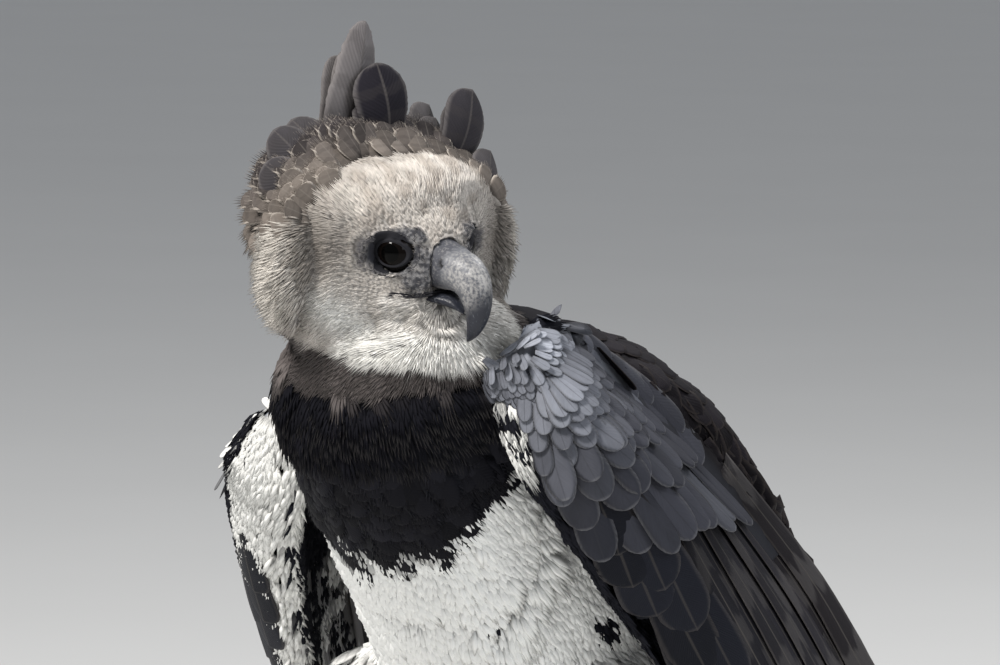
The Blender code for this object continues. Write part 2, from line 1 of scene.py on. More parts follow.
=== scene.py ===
"""The looks of a life-size harpy eagle: skin, plumage, bill, eyes, legs, floor, lights and camera.

Everything is in the frame's own metres. The bird's own frame, in which its parts are worked out,
is the frame's moved by BIRD_SHIFT.
"""
import math

import bmesh
import bpy
import numpy as np
from bpy.props import FloatProperty, FloatVectorProperty, PointerProperty
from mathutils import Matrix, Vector
from mathutils.bvhtree import BVHTree
from mathutils.kdtree import KDTree


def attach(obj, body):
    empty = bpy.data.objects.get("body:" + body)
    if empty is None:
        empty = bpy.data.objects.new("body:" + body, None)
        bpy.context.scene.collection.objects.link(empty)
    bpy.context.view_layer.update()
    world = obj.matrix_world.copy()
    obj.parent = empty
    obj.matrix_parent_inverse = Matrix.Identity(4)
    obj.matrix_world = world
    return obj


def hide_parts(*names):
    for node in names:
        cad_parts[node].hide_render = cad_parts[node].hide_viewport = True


bl_info = {
    "name": "Harpy eagle looks",
    "version": (1, 0, 0),
    "blender": (4, 5, 0),
    "location": "View3D > Sidebar > Eagle",
    "description": "Builds the skin, plumage, bill, eyes and legs of a life-size harpy eagle",
    "category": "Add Mesh",
}

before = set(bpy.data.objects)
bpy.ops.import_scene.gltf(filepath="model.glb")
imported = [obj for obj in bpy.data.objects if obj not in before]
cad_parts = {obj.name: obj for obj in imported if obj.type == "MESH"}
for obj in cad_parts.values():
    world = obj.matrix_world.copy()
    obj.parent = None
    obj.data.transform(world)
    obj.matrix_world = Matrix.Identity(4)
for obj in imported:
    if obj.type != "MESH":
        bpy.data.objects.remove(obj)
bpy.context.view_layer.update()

BIRD_SHIFT = np.array((0.0110, -0.085, 0.0))
RIGHT_WING_SHIFT = np.array((-0.022, 0.072, -0.050))
SIDES = (("left", 1), ("right", -1))

BLACK = (0.010, 0.0105, 0.0145)
NECK_GREY = (0.028, 0.026, 0.029)
WHITE = (0.70, 0.70, 0.68)
SLATE = (0.042, 0.043, 0.053)
ASH_PALE = (0.60, 0.565, 0.525)
ASH_DARK = (0.205, 0.185, 0.165)
CROWN_BEIGE = (0.185, 0.160, 0.140)
LORE_GREY = (0.030, 0.030, 0.036)


# Small tools on arrays of points

def arr(*values):
    return np.array(values, dtype=float)


def unit(v):
    return v / np.maximum(np.linalg.norm(v, axis=-1, keepdims=True), 1e-12)


def dot(a, b):
    return (a * b).sum(axis=-1)


def step(low, high, x):
    """A smooth rise from 0 at low to 1 at high."""
    t = np.clip((x - low) / (high - low), 0.0, 1.0)
    return t * t * (3 - 2 * t)


def mix(a, b, t):
    t = np.asarray(t)[..., None]
    return np.asarray(a) * (1 - t) + np.asarray(b) * t


def curve_through(points, t):
    """A smooth curve through the points at each t, which runs from 0 to 1 over all of them."""
    pts = np.array(points, dtype=float)
    pts = np.vstack([2 * pts[0] - pts[1], pts, 2 * pts[-1] - pts[-2]])
    last = len(pts) - 3
    x = np.clip(np.asarray(t, dtype=float), 0.0, 1.0) * last
    i = np.minimum(x.astype(int), last - 1)
    u = (x - i)[..., None]
    p0, p1, p2, p3 = pts[i], pts[i + 1], pts[i + 2], pts[i + 3]
    return 0.5 * (2 * p1 + (p2 - p0) * u + (2 * p0 - 5 * p1 + 4 * p2 - p3) * u ** 2
                  + (3 * p1 - p0 - 3 * p2 + p3) * u ** 3)


def value_noise(points, scale, seed=0):
    """Smooth noise from 0 to 1 at each point; scale is the size of its lumps."""
    g = points / scale
    cell = np.floor(g).astype(np.int64)
    f = g - cell
    f = f * f * (3 - 2 * f)
    total = np.zeros(len(points))
    for dx in (0, 1):
        for dy in (0, 1):
            for dz in (0, 1):
                key = ((cell[:, 0] + dx) * 73856093 ^ (cell[:, 1] + dy) * 19349663
                       ^ (cell[:, 2] + dz) * 83492791 ^ (seed * 2654435761))
                key = (key ^ (key >> 13)) * 1274126177
                value = ((key ^ (key >> 16)) & 0xFFFF) / 65535.0
                weight = (np.where(dx, f[:, 0], 1 - f[:, 0]) * np.where(dy, f[:, 1], 1 - f[:, 1])
                          * np.where(dz, f[:, 2], 1 - f[:, 2]))
                total += value * weight
    return total


# The head's own frame: forward along the bill, towards the head's left, and up

HEAD_CENTRE = arr(0.0, -0.200, 0.700) + BIRD_SHIFT
HEAD_YAW = math.radians(70.0)
HEAD_PITCH = math.radians(6.0)
FORWARD = arr(math.sin(HEAD_YAW) * math.cos(HEAD_PITCH), -math.cos(HEAD_YAW) * math.cos(HEAD_PITCH),
              -math.sin(HEAD_PITCH))
SIDE = arr(math.cos(HEAD_YAW), math.sin(HEAD_YAW), 0.0)
RISE = np.cross(FORWARD, SIDE)
HEAD_TURN = np.array([FORWARD, SIDE, RISE])

EYE_CENTRE = arr(0.0290, 0.0195, 0.0110)
EYE_LOOK = unit(arr(0.45, 0.89, 0.0))
EYE_RADIUS = 0.0118


def on_head(place):
    return HEAD_CENTRE + np.asarray(place) @ HEAD_TURN


def in_head(points):
    return (points - HEAD_CENTRE) @ HEAD_TURN.T


# The trunk's middle line, from which the lie of its feathers and its markings come

TRUNK = [((-0.252, 0.660), (-0.152, 0.700)), ((-0.260, 0.630), (-0.136, 0.684)),
         ((-0.254, 0.600), (-0.112, 0.674)), ((-0.224, 0.562), (-0.066, 0.664)),
         ((-0.186, 0.522), (-0.014, 0.644)), ((-0.144, 0.470), (0.044, 0.608)),
         ((-0.096, 0.412), (0.094, 0.556)), ((-0.040, 0.360), (0.134, 0.500)),
         ((0.024, 0.320), (0.164, 0.446)), ((0.082, 0.296), (0.190, 0.394)),
         ((0.128, 0.280), (0.206, 0.352)), ((0.176, 0.254), (0.226, 0.314)),
         ((0.226, 0.224), (0.254, 0.268))]


def trunk_line():
    t = np.linspace(0, 1, 80)
    front = curve_through([s[0] for s in TRUNK], t)
    back = curve_through([s[1] for s in TRUNK], t)
    middle = np.column_stack([np.zeros(80), (front + back) / 2]) + BIRD_SHIFT
    return middle, unit(np.gradient(middle, axis=0)), unit(np.column_stack([np.zeros(80), back - front]))


LINE, LINE_WAY, LINE_BACK = trunk_line()


def trunk_place(points):
    """For each point: its share along the trunk, the way along it, and the way to the back."""
    away = np.linalg.norm(points[:, None, :] - LINE[None], axis=2)
    near = away.argmin(axis=1)
    return near / (len(LINE) - 1), LINE_WAY[near], LINE_BACK[near]


# The left wing: its front edge, its trailing edge, and its sections, as the frame was made

WING_FRONT = [(0.070, -0.214, 0.650), (0.077, -0.208, 0.614), (0.086, -0.201, 0.590),
              (0.096, -0.180, 0.559), (0.105, -0.153, 0.524), (0.114, -0.119, 0.4865),
              (0.128, -0.062, 0.425), (0.143, -0.002, 0.360), (0.154, 0.058, 0.302),
              (0.161, 0.112, 0.258), (0.163, 0.155, 0.226)]
WING_TRAIL = [(0.072, -0.190, 0.668), (0.084, -0.168, 0.674), (0.098, -0.122, 0.6435),
              (0.117, -0.067, 0.6015), (0.132, -0.028, 0.5608), (0.150, 0.019, 0.509),
              (0.162, 0.052, 0.464), (0.172, 0.098, 0.404), (0.178, 0.142, 0.345),
              (0.180, 0.178, 0.296), (0.178, 0.204, 0.256)]
WING_THICKNESS = [(0.030,), (0.042,), (0.044,), (0.040,), (0.034,), (0.028,), (0.021,), (0.015,),
                  (0.010,), (0.007,), (0.005,)]
WING_CAMBER = [(0.006,), (0.014,), (0.018,), (0.019,), (0.018,), (0.016,), (0.014,), (0.012,),
               (0.009,), (0.006,), (0.004,)]
TRAIL_THICKNESS = 0.0030
NOSE_SHARE = 0.22


def sided(points, side_sign):
    """Turns points on the left wing, in the bird's frame, into the wing asked for."""
    if side_sign < 0:
        points = points * arr(-1, 1, 1) + RIGHT_WING_SHIFT
    return points + BIRD_SHIFT


def wing_point(p, q, face=1.0, height=0.0):
    """Points on the left wing, p along it and q across it; face 1 is its outer side and -1 its inner."""
    p, q = np.asarray(p, dtype=float), np.asarray(q, dtype=float)
    front, trail = curve_through(WING_FRONT, p), curve_through(WING_TRAIL, p)
    ahead = curve_through(WING_FRONT, np.minimum(p + 0.04, 1.0))
    ahead = ahead - curve_through(WING_FRONT, np.maximum(p - 0.04, 0.0))
    out = unit(np.cross(trail - front, ahead))
    out = out * np.where(out[..., :1] > 0, 1.0, -1.0)
    thick = curve_through(WING_THICKNESS, p)[..., 0]
    camber = curve_through(WING_CAMBER, p)[..., 0]
    nose = thick * np.sqrt(np.clip(1 - ((NOSE_SHARE - q) / NOSE_SHARE) ** 2, 0, 1))
    fall = np.clip((q - NOSE_SHARE) / (1 - NOSE_SHARE), 0, 1)
    depth = np.where(q < NOSE_SHARE, nose, thick + (TRAIL_THICKNESS - thick) * (1 - (1 - fall) ** 1.5))
    place = front + (trail - front) * q[..., None]
    place = place + out * (camber * np.sin(math.pi * np.minimum(q * 1.15, 1.0)))[..., None]
    return place + out * (face * depth / 2 + height * np.sign(face))[..., None]


# Meshes

def new_mesh(name, points, faces, smooth=True):
    mesh = bpy.data.meshes.new(name)
    mesh.from_pydata(np.asarray(points).tolist(), [], faces)
    if smooth:
        mesh.shade_smooth()
    return mesh


def new_object(name, mesh):
    item = bpy.data.objects.new(name, mesh)
    bpy.context.scene.collection.objects.link(item)
    return item


def points_of(mesh):
    co = np.empty(len(mesh.vertices) * 3, np.float32)
    mesh.vertices.foreach_get("co", co)
    return co.reshape(-1, 3).astype(float)


def normals_of(mesh):
    co = np.empty(len(mesh.vertices) * 3, np.float32)
    mesh.vertex_normals.foreach_get("vector", co)
    return co.reshape(-1, 3).astype(float)


KINDS = {1: ("FLOAT", "value"), 3: ("FLOAT_VECTOR", "vector"), 4: ("FLOAT_COLOR", "color")}


def write_values(mesh, name, values):
    """Stores one number, vector or colour for each of a mesh's points."""
    values = np.asarray(values, dtype=np.float32)
    width = 1 if values.ndim == 1 else values.shape[1]
    kind, field = KINDS[width]
    layer = mesh.attributes.get(name) or mesh.attributes.new(name, kind, "POINT")
    layer.data.foreach_set(field, values.ravel())


def read_values(mesh, name):
    layer = mesh.attributes[name]
    width = {"FLOAT": 1, "FLOAT_VECTOR": 3, "FLOAT_COLOR": 4}[layer.data_type]
    values = np.empty(len(layer.data) * width, np.float32)
    layer.data.foreach_get(KINDS[width][1], values)
    return values.astype(float) if width == 1 else values.reshape(-1, width).astype(float)


def colours(rgb, count=None):
    rgb = np.asarray(rgb, dtype=float)
    if rgb.ndim == 1:
        rgb = np.tile(rgb, (count, 1))
    return np.column_stack([rgb, np.ones(len(rgb))])


def outward(mesh):
    """Turns a closed mesh's faces outwards."""
    shape = bmesh.new()
    shape.from_mesh(mesh)
    bmesh.ops.recalc_face_normals(shape, faces=shape.faces)
    if shape.calc_volume(signed=True) < 0:
        bmesh.ops.reverse_faces(shape, faces=shape.faces)
    shape.to_mesh(mesh)
    shape.free()


def loft_faces(rows, cols, caps=True):
    """Faces over rings of equal count, with a pole point at each end after the rings' own points."""
    faces = []
    for i in range(rows - 1):
        for j in range(cols):
            k = (j + 1) % cols
            faces.append((i * cols + j, i * cols + k, (i + 1) * cols + k, (i + 1) * cols + j))
    if caps:
        first, last = rows * cols, rows * cols + 1
        for j in range(cols):
            k = (j + 1) % cols
            faces.append((k, j, first))
            faces.append(((rows - 1) * cols + j, (rows - 1) * cols + k, last))
    return faces


def loft(name, rings):
    rings = np.asarray(rings)
    rows, cols = rings.shape[:2]
    poles = np.array([rings[0].mean(axis=0), rings[-1].mean(axis=0)])
    mesh = new_mesh(name, np.vstack([rings.reshape(-1, 3), poles]), loft_faces(rows, cols))
    outward(mesh)
    return mesh


# Feathers: a closed vane with a flat underside, along +Y from its foot at the origin, out along +Z

def vane_outline(t, foot, widest):
    """A feather's half width along its length, as a share of its widest."""
    rise = foot + (1 - foot) * np.sin(np.clip(t / widest, 0, 1) * math.pi / 2)
    fall = np.clip((t - widest) / (1 - widest), 0, 1)
    return np.where(t < widest, rise, np.sqrt(np.clip(1 - fall ** 2.0, 0, 1)))


FIVE_ACROSS = (-1, -0.5, 0, 0.5, 1)


def vane_mesh(name, rows=7, across=FIVE_ACROSS, foot=0.35, widest=0.55, droop=0.10, cup=0.16, ridge=0.035,
              fringe=0, seed=1):
    """A closed feather of unit length and half width, and where its points lie; fringe adds barbs."""
    reach = 0.90 if fringe else 1.0
    t = np.sin(np.arange(rows) / rows * math.pi / 2) ** 0.85 * reach
    k = np.array(across, dtype=float)
    half = vane_outline(t / reach, foot, widest)
    x = k[None, :] * half[:, None]
    y = np.repeat(t[:, None], len(k), 1)
    z = -droop * t[:, None] ** 2 - cup * x ** 2 + ridge * (1 - np.abs(k)[None, :])
    points = np.dstack([x, y, z]).reshape(-1, 3)
    tip = arr(0, reach, -droop * reach ** 2)
    vanes = np.dstack([np.repeat(k[None, :], rows, 0), np.repeat(t[:, None], len(k), 1), np.zeros_like(x)])
    points = np.vstack([points, tip])
    vanes = np.vstack([vanes.reshape(-1, 3), arr(0, reach, 0)])
    cols, end = len(k), rows * len(k)
    faces = []
    for i in range(rows - 1):
        a, b = i * cols, (i + 1) * cols
        for j in range(cols - 1):
            faces.append((a + j, a + j + 1, b + j + 1, b + j))
        faces.append((a + cols - 1, a, b, b + cols - 1))
    faces.append(tuple(range(cols - 1, -1, -1)))
    a = (rows - 1) * cols
    faces += [(a + j, a + j + 1, end) for j in range(cols - 1)]
    faces.append((a + cols - 1, a, end))
    draw = np.random.default_rng(seed)
    for n in range(fringe):
        turn = math.pi * (0.04 + 0.92 * (n + 0.5) / fringe) + draw.normal(0, 0.03)
        k, y = -math.cos(turn), widest + (reach - widest) * math.sin(turn) ** 0.8
        start = arr(k * 0.80, y * 0.86, -droop * y * y - cup * k * k * 0.6)
        way = unit(arr(k * 0.22, 0.34 + 0.10 * math.sin(turn), 0))
        end_point = start + way * draw.uniform(0.22, 0.34) + arr(0, 0, -droop * 0.4)
        wide = 0.6 / max(fringe, 9)
        base = len(points)
        points = np.vstack([points, start - arr(wide, 0, 0), start + arr(wide, 0, 0),
                            start + arr(0, 0.05, 0.025), end_point])
        vanes = np.vstack([vanes, (k, 0.86, 0), (k, 0.86, 0), (k, 0.9, 0), (k, 1.0, n / fringe)])
        faces += [(base, base + 2, base + 1), (base, base + 1, base + 3), (base + 1, base + 2, base + 3),
                  (base + 2, base, base + 3)]
    mesh = new_mesh(name, points, faces)
    outward(mesh)
    write_values(mesh, "vane", vanes)
    return mesh


def tuft_mesh(name, blades=5, spread=0.55, seed=1, slim=0.085, droop=0.22):
    """A tuft of fine closed blades of about unit length, fanned from one foot."""
    draw = np.random.default_rng(seed)
    points, faces, vanes = [], [], []
    for n in range(blades):
        k = 0.0 if blades == 1 else -1 + 2 * n / (blades - 1)
        turn = k * spread + draw.normal(0, 0.06)
        reach = (1.0 - 0.22 * abs(k)) * draw.uniform(0.86, 1.08)
        way, side = arr(math.sin(turn), math.cos(turn), 0), arr(math.cos(turn), -math.sin(turn), 0)
        start = arr(k * 0.16, 0, 0)
        wide = slim * draw.uniform(0.8, 1.2)
        lift = draw.uniform(-0.03, 0.07)
        mid = start + way * reach * 0.5 + arr(0, 0, lift)
        end = start + way * reach + arr(0, 0, -droop * reach * reach + lift)
        base = len(points)
        points += [start, mid - side * wide, mid + side * wide, mid + arr(0, 0, wide * 0.7), end]
        blade = ((0, 3, 1), (1, 3, 4), (3, 2, 4), (0, 2, 3), (0, 1, 2), (1, 4, 2))
        faces += [tuple(base + corner for corner in face) for face in blade]
        vanes += [(k, along, n / blades) for along in (0, 0.5, 0.5, 0.5, 1)]
    mesh = new_mesh(name, points, faces)
    outward(mesh)
    write_values(mesh, "vane", np.array(vanes, dtype=float))
    return mesh


# Geometry Nodes: one tree scatters roots on the skin, the other sets a feather on each root

def add_node(tree, kind, settings=None, **inputs):
    node = tree.nodes.new(kind)
    for key, value in (settings or {}).items():
        setattr(node, key, value)
    for key, value in inputs.items():
        socket = node.inputs[key.replace("_", " ")]
        if isinstance(value, bpy.types.NodeSocket):
            tree.links.new(value, socket)
        else:
            socket.default_value = value
    return node


def named(tree, name, kind):
    node = tree.nodes.new("GeometryNodeInputNamedAttribute")
    node.data_type = kind
    node.inputs["Name"].default_value = name
    return node.outputs["Attribute"]


def new_tree(name, sockets):
    tree = bpy.data.node_groups.new(name, "GeometryNodeTree")
    tree.interface.new_socket("Geometry", in_out="INPUT", socket_type="NodeSocketGeometry")
    for label, kind in sockets:
        tree.interface.new_socket(label, in_out="INPUT", socket_type=kind)
    tree.interface.new_socket("Geometry", in_out="OUTPUT", socket_type="NodeSocketGeometry")
    return tree, tree.nodes.new("NodeGroupInput"), tree.nodes.new("NodeGroupOutput")


def make_scatter_tree():
    sockets = (("Spacing", "NodeSocketFloat"), ("Seed", "NodeSocketInt"))
    tree, given, result = new_tree("scatter_roots", sockets)
    pick = add_node(tree, "FunctionNodeCompare", {"data_type": "FLOAT", "operation": "GREATER_THAN"})
    tree.links.new(named(tree, "pick", "FLOAT"), pick.inputs[0])
    pick.inputs[1].default_value = 0.5
    spread = add_node(tree, "GeometryNodeDistributePointsOnFaces", {"distribute_method": "POISSON"},
                      Mesh=given.outputs["Geometry"], Distance_Min=given.outputs["Spacing"],
                      Seed=given.outputs["Seed"])
    tree.links.new(pick.outputs[0], spread.inputs["Selection"])
    spread.inputs["Density Max"].default_value = 4e6
    keep = add_node(tree, "GeometryNodeStoreNamedAttribute",
                    {"data_type": "FLOAT_VECTOR", "domain": "POINT"},
                    Geometry=spread.outputs["Points"], Name="outward", Value=spread.outputs["Normal"])
    turned = add_node(tree, "GeometryNodePointsToVertices", Points=keep.outputs["Geometry"])
    tree.links.new(turned.outputs["Mesh"], result.inputs["Geometry"])
    return tree


def make_plumage_tree():
    """Sets the feather on each point, along its 'along' and out along its 'outward'."""
    sockets = (("Feather", "NodeSocketObject"), ("Finish", "NodeSocketMaterial"),
               ("Size", "NodeSocketFloat"))
    tree, given, result = new_tree("set_feathers", sockets)
    feather = add_node(tree, "GeometryNodeObjectInfo", {"transform_space": "ORIGINAL"},
                       Object=given.outputs["Feather"])
    turn = add_node(tree, "FunctionNodeAxesToRotation", {"primary_axis": "Y", "secondary_axis": "Z"})
    tree.links.new(named(tree, "along", "FLOAT_VECTOR"), turn.inputs[0])
    tree.links.new(named(tree, "outward", "FLOAT_VECTOR"), turn.inputs[1])
    size = add_node(tree, "ShaderNodeVectorMath", {"operation": "SCALE"})
    tree.links.new(named(tree, "size", "FLOAT_VECTOR"), size.inputs[0])
    tree.links.new(given.outputs["Size"], size.inputs["Scale"])
    setter = add_node(tree, "GeometryNodeInstanceOnPoints", Points=given.outputs["Geometry"],
                      Instance=feather.outputs["Geometry"], Rotation=turn.outputs[0], Scale=size.outputs[0])
    real = add_node(tree, "GeometryNodeRealizeInstances", Geometry=setter.outputs["Instances"])
    finish = add_node(tree, "GeometryNodeSetMaterial", Geometry=real.outputs["Geometry"],
                      Material=given.outputs["Finish"])
    tree.links.new(finish.outputs["Geometry"], result.inputs["Geometry"])
    return tree


TREES = {}


def tree_named(name, maker):
    if name not in TREES:
        TREES[name] = maker()
    return TREES[name]


def run_tree(item, tree, values):
    """The evaluated mesh of an object under a tree; values go by the inputs' names."""
    live = item.modifiers.new("grow", "NODES")
    live.node_group = tree
    for socket in tree.interface.items_tree:
        if socket.in_out == "INPUT" and socket.name in values:
            live[socket.identifier] = values[socket.name]
    bpy.context.view_layer.update()
    grown = item.evaluated_get(bpy.context.evaluated_depsgraph_get())
    mesh = bpy.data.meshes.new_from_object(grown)
    item.modifiers.remove(live)
    return mesh


def scatter(skin, pick, spacing, seed):
    """Root places and outward ways on the skin where pick is over one half."""
    write_values(skin.data, "pick", pick)
    mesh = run_tree(skin, tree_named("scatter", make_scatter_tree), {"Spacing": spacing, "Seed": seed})
    places, ways = points_of(mesh), unit(read_values(mesh, "outward"))
    bpy.data.meshes.remove(mesh)
    return places, ways


def box_unwrap(points, ways):
    """Each root's place on an unwrap of its surface's own shape: six sides, three by two."""
    low, high = points.min(axis=0), points.max(axis=0)
    share = (points - low) / np.maximum(high - low, 1e-6)
    axis = np.abs(ways).argmax(axis=1)
    chart = axis + 3 * (np.take_along_axis(ways, axis[:, None], 1)[:, 0] > 0)
    u = np.choose(axis, (share[:, 1], share[:, 0], share[:, 0]))
    v = np.choose(axis, (share[:, 2], share[:, 2], share[:, 1]))
    return np.column_stack([(chart % 3 + 0.03 + 0.94 * u) / 3, (chart // 3 + 0.03 + 0.94 * v) / 2])


PATCH = 0.003
NO_MARKS = (0.0, 0.0, 0.0)


def set_feathers(name, feather, finish, places, ways, lie, lift, length, half, tone, marks, draw,
                 roots=None, patch=PATCH, sway=0.12):
    """One coat piece: the feather's mesh at each place, lying along lie and lifted off the surface."""
    count = len(places)
    lie = unit(lie - ways * dot(lie, ways)[:, None])
    across = np.cross(lie, ways)
    turn = draw.normal(0, 1, count) * sway
    lie = lie * np.cos(turn)[:, None] + across * np.sin(turn)[:, None]
    lift = np.broadcast_to(lift, count) * draw.uniform(0.85, 1.15, count)
    along = lie * np.cos(lift)[:, None] + ways * np.sin(lift)[:, None]
    out = ways * np.cos(lift)[:, None] - lie * np.sin(lift)[:, None]
    roll = draw.normal(0, 0.07, count)
    out = unit(out + np.cross(along, out) * roll[:, None])
    length = np.broadcast_to(length, count) * draw.uniform(0.90, 1.10, count)
    half = np.broadcast_to(half, count) * draw.uniform(0.92, 1.08, count)
    carrier = bpy.data.meshes.new(name)
    carrier.from_pydata(places.tolist(), [], [])
    write_values(carrier, "along", along)
    write_values(carrier, "outward", out)
    write_values(carrier, "size", np.column_stack([half, length, (length + half) / 2]))
    write_values(carrier, "tone", colours(tone, count))
    write_values(carrier, "marks", np.broadcast_to(marks, (count, 3)))
    roots = box_unwrap(places, ways) if roots is None else roots
    write_values(carrier, "root", np.column_stack([roots, draw.uniform(0, 1, count)]))
    holder, shape = new_object(name, carrier), new_object("feather", feather)
    mesh = run_tree(holder, tree_named("plumage", make_plumage_tree),
                    {"Feather": shape, "Finish": finish, "Size": 1.0})
    bpy.data.objects.remove(shape)
    bpy.data.objects.remove(holder)
    bpy.data.meshes.remove(carrier)
    mesh.name = name
    finish_coat(mesh, patch)
    return new_object(name, mesh)


def write_bake_map(mesh, spots):
    """Lays the bake map out from a place for each point."""
    corner = np.empty(len(mesh.loops), np.int32)
    mesh.loops.foreach_get("vertex_index", corner)
    mesh.uv_layers.new(name="OFBake")
    mesh.uv_layers["OFBake"].data.foreach_set("uv", spots[corner].astype(np.float32).ravel())


def finish_coat(mesh, patch):
    """Writes the bake map from each point's root and vane place, and drops what no finish reads."""
    root, vane = read_values(mesh, "root"), read_values(mesh, "vane")
    local = np.column_stack([vane[:, 0] / 2, vane[:, 1] - 0.5])
    for name in ("along", "outward", "size"):
        if name in mesh.attributes:
            mesh.attributes.remove(mesh.attributes[name])
    for layer in list(mesh.uv_layers):
        mesh.uv_layers.remove(layer)
    write_bake_map(mesh, np.clip(root[:, :2] + local * patch, 0.001, 0.999))
    mesh.shade_smooth()


# Shader maths as expressions

class Signal:
    """A shader socket that adds Math nodes when it is worked with."""

    def __init__(self, paint, socket):
        self.paint, self.socket = paint, socket

    def maths(self, operation, *values):
        return self.paint.node("ShaderNodeMath", {"operation": operation}, dict(enumerate(values)))

    def __add__(self, other):
        return self.maths("ADD", self, other)

    def __sub__(self, other):
        return self.maths("SUBTRACT", self, other)

    def __rsub__(self, other):
        return self.maths("SUBTRACT", other, self)

    def __mul__(self, other):
        return self.maths("MULTIPLY", self, other)

    def __truediv__(self, other):
        return self.maths("DIVIDE", self, other)

    def __pow__(self, other):
        return self.maths("POWER", self, other)

    __radd__ = __add__
    __rmul__ = __mul__

    def size(self):
        return self.maths("ABSOLUTE", self)

    def wave(self):
        return self.maths("SINE", self)

    def rise(self, low, high):
        """A smooth rise from 0 at low to 1 at high."""
        return self.paint.node("ShaderNodeMapRange", {"interpolation_type": "SMOOTHSTEP"},
                               {0: self, 1: low, 2: high, 3: 0.0, 4: 1.0})


class Paint:
    """A material whose nodes are made one call at a time."""

    def __init__(self, name, **constants):
        self.material = bpy.data.materials.new(name)
        self.material.use_nodes = True
        self.tree = self.material.node_tree
        self.shader = self.tree.nodes["Principled BSDF"]
        for label, value in constants.items():
            self.shader.inputs[label.replace("_", " ")].default_value = value

    def node(self, kind, settings, inputs, output=0):
        made = self.tree.nodes.new(kind)
        for key, value in settings.items():
            setattr(made, key, value)
        for key, value in inputs.items():
            if isinstance(value, Signal):
                self.tree.links.new(value.socket, made.inputs[key])
            else:
                made.inputs[key].default_value = value
        return Signal(self, made.outputs[output])

    def stored(self, name, output="Fac"):
        return self.node("ShaderNodeAttribute", {"attribute_name": name}, {}, output)

    def parts(self, vector):
        return [self.node("ShaderNodeSeparateXYZ", {}, {0: vector}, n) for n in range(3)]

    def vector(self, x, y, z):
        return self.node("ShaderNodeCombineXYZ", {}, {0: x, 1: y, 2: z})

    def place(self):
        return self.node("ShaderNodeTexCoord", {}, {}, "Object")

    def noise(self, vector, scale, detail=2.0, output="Fac"):
        inputs = {"Vector": vector, "Scale": scale, "Detail": detail}
        return self.node("ShaderNodeTexNoise", {}, inputs, output)

    def blend(self, share, a, b, how="MIX"):
        """Mixes two colours; a share of 1 gives the second."""
        made = self.tree.nodes.new("ShaderNodeMix")
        made.data_type, made.blend_type, made.clamp_factor = "RGBA", how, True
        for index, value in ((0, share), (6, a), (7, b)):
            if isinstance(value, Signal):
                self.tree.links.new(value.socket, made.inputs[index])
            elif index:
                made.inputs[index].default_value = (*value, 1.0)
            else:
                made.inputs[index].default_value = value
        return Signal(self, made.outputs[2])

    def tinted(self, colour, factor):
        """A colour made lighter or darker by a number."""
        return self.blend(1.0, colour, self.vector(factor, factor, factor), "MULTIPLY")

    def finish(self, colour, roughness=None, height=None, depth=0.0, strength=1.0):
        self.tree.links.new(colour.socket, self.shader.inputs["Base Color"])
        if roughness is not None:
            self.tree.links.new(roughness.socket, self.shader.inputs["Roughness"])
        if height is not None:
            inputs = {"Strength": strength, "Distance": depth, "Height": height}
            bump = self.node("ShaderNodeBump", {}, inputs)
            self.tree.links.new(bump.socket, self.shader.inputs["Normal"])
        return self.material


# What each feather carries: its tone, and three marks: pale rim, pale shaft and dark bars

def vane_finish(name, rough, sheen, rim_colour, shaft_colour, bar_colour, barbs=46.0, fray=0.10,
                body=0.30):
    """A feather's vane: barbs, a mottle, and as much of a pale rim, a shaft and bars as its marks say."""
    paint = Paint(name, Roughness=rough, Sheen_Weight=sheen, Sheen_Roughness=0.4, Specular_IOR_Level=0.05)
    across, along, _ = paint.parts(paint.stored("vane", "Vector"))
    rim_share, shaft_share, bar_share = paint.parts(paint.stored("marks", "Vector"))
    _, _, chance = paint.parts(paint.stored("root", "Vector"))
    wide = across.size()
    shift = chance * 37.0
    barb = along * barbs - wide * (barbs * 0.28) + shift
    fibre = paint.noise(paint.vector(wide * 1.5 + shift, barb * 0.55, chance * 11.0), 1.0, 3.0)
    mottle = paint.noise(paint.vector(across * 1.3 + shift, along * 3.0, chance * 5.0), 1.0, 2.0)
    light = (1.0 - body) + chance * (body * 0.9) + mottle * body
    light = light * (0.88 + fibre * 0.26)
    colour = paint.tinted(paint.stored("tone", "Color"), light)
    edge = wide.rise(0.80, 0.97)
    tip = along.rise(0.955, 0.992)
    rim = (edge + tip - edge * tip) * rim_share * (0.35 + fibre * 1.1)
    bars = ((along * 21.0 + mottle * 5.0 + shift).wave().rise(0.1, 0.7)) * bar_share
    colour = paint.blend(bars * (0.5 + fibre * 0.7), colour, bar_colour)
    colour = paint.blend(rim, colour, rim_colour)
    shaft = (1.0 - wide.rise(0.020, 0.075)) * shaft_share
    colour = paint.blend(shaft, colour, shaft_colour)
    # painted shade: darker towards each feather's foot, where it lies under the feathers before it
    shade = 0.62 + along.rise(0.0, 0.45) * 0.38
    colour = paint.tinted(colour, shade)
    height = (barb * 2.2).wave() * 0.35 + fibre * 0.8 + (1.0 - wide.rise(0.0, 0.12)) * 0.8
    return paint.finish(colour, None, height, fray * 0.001, 0.55)


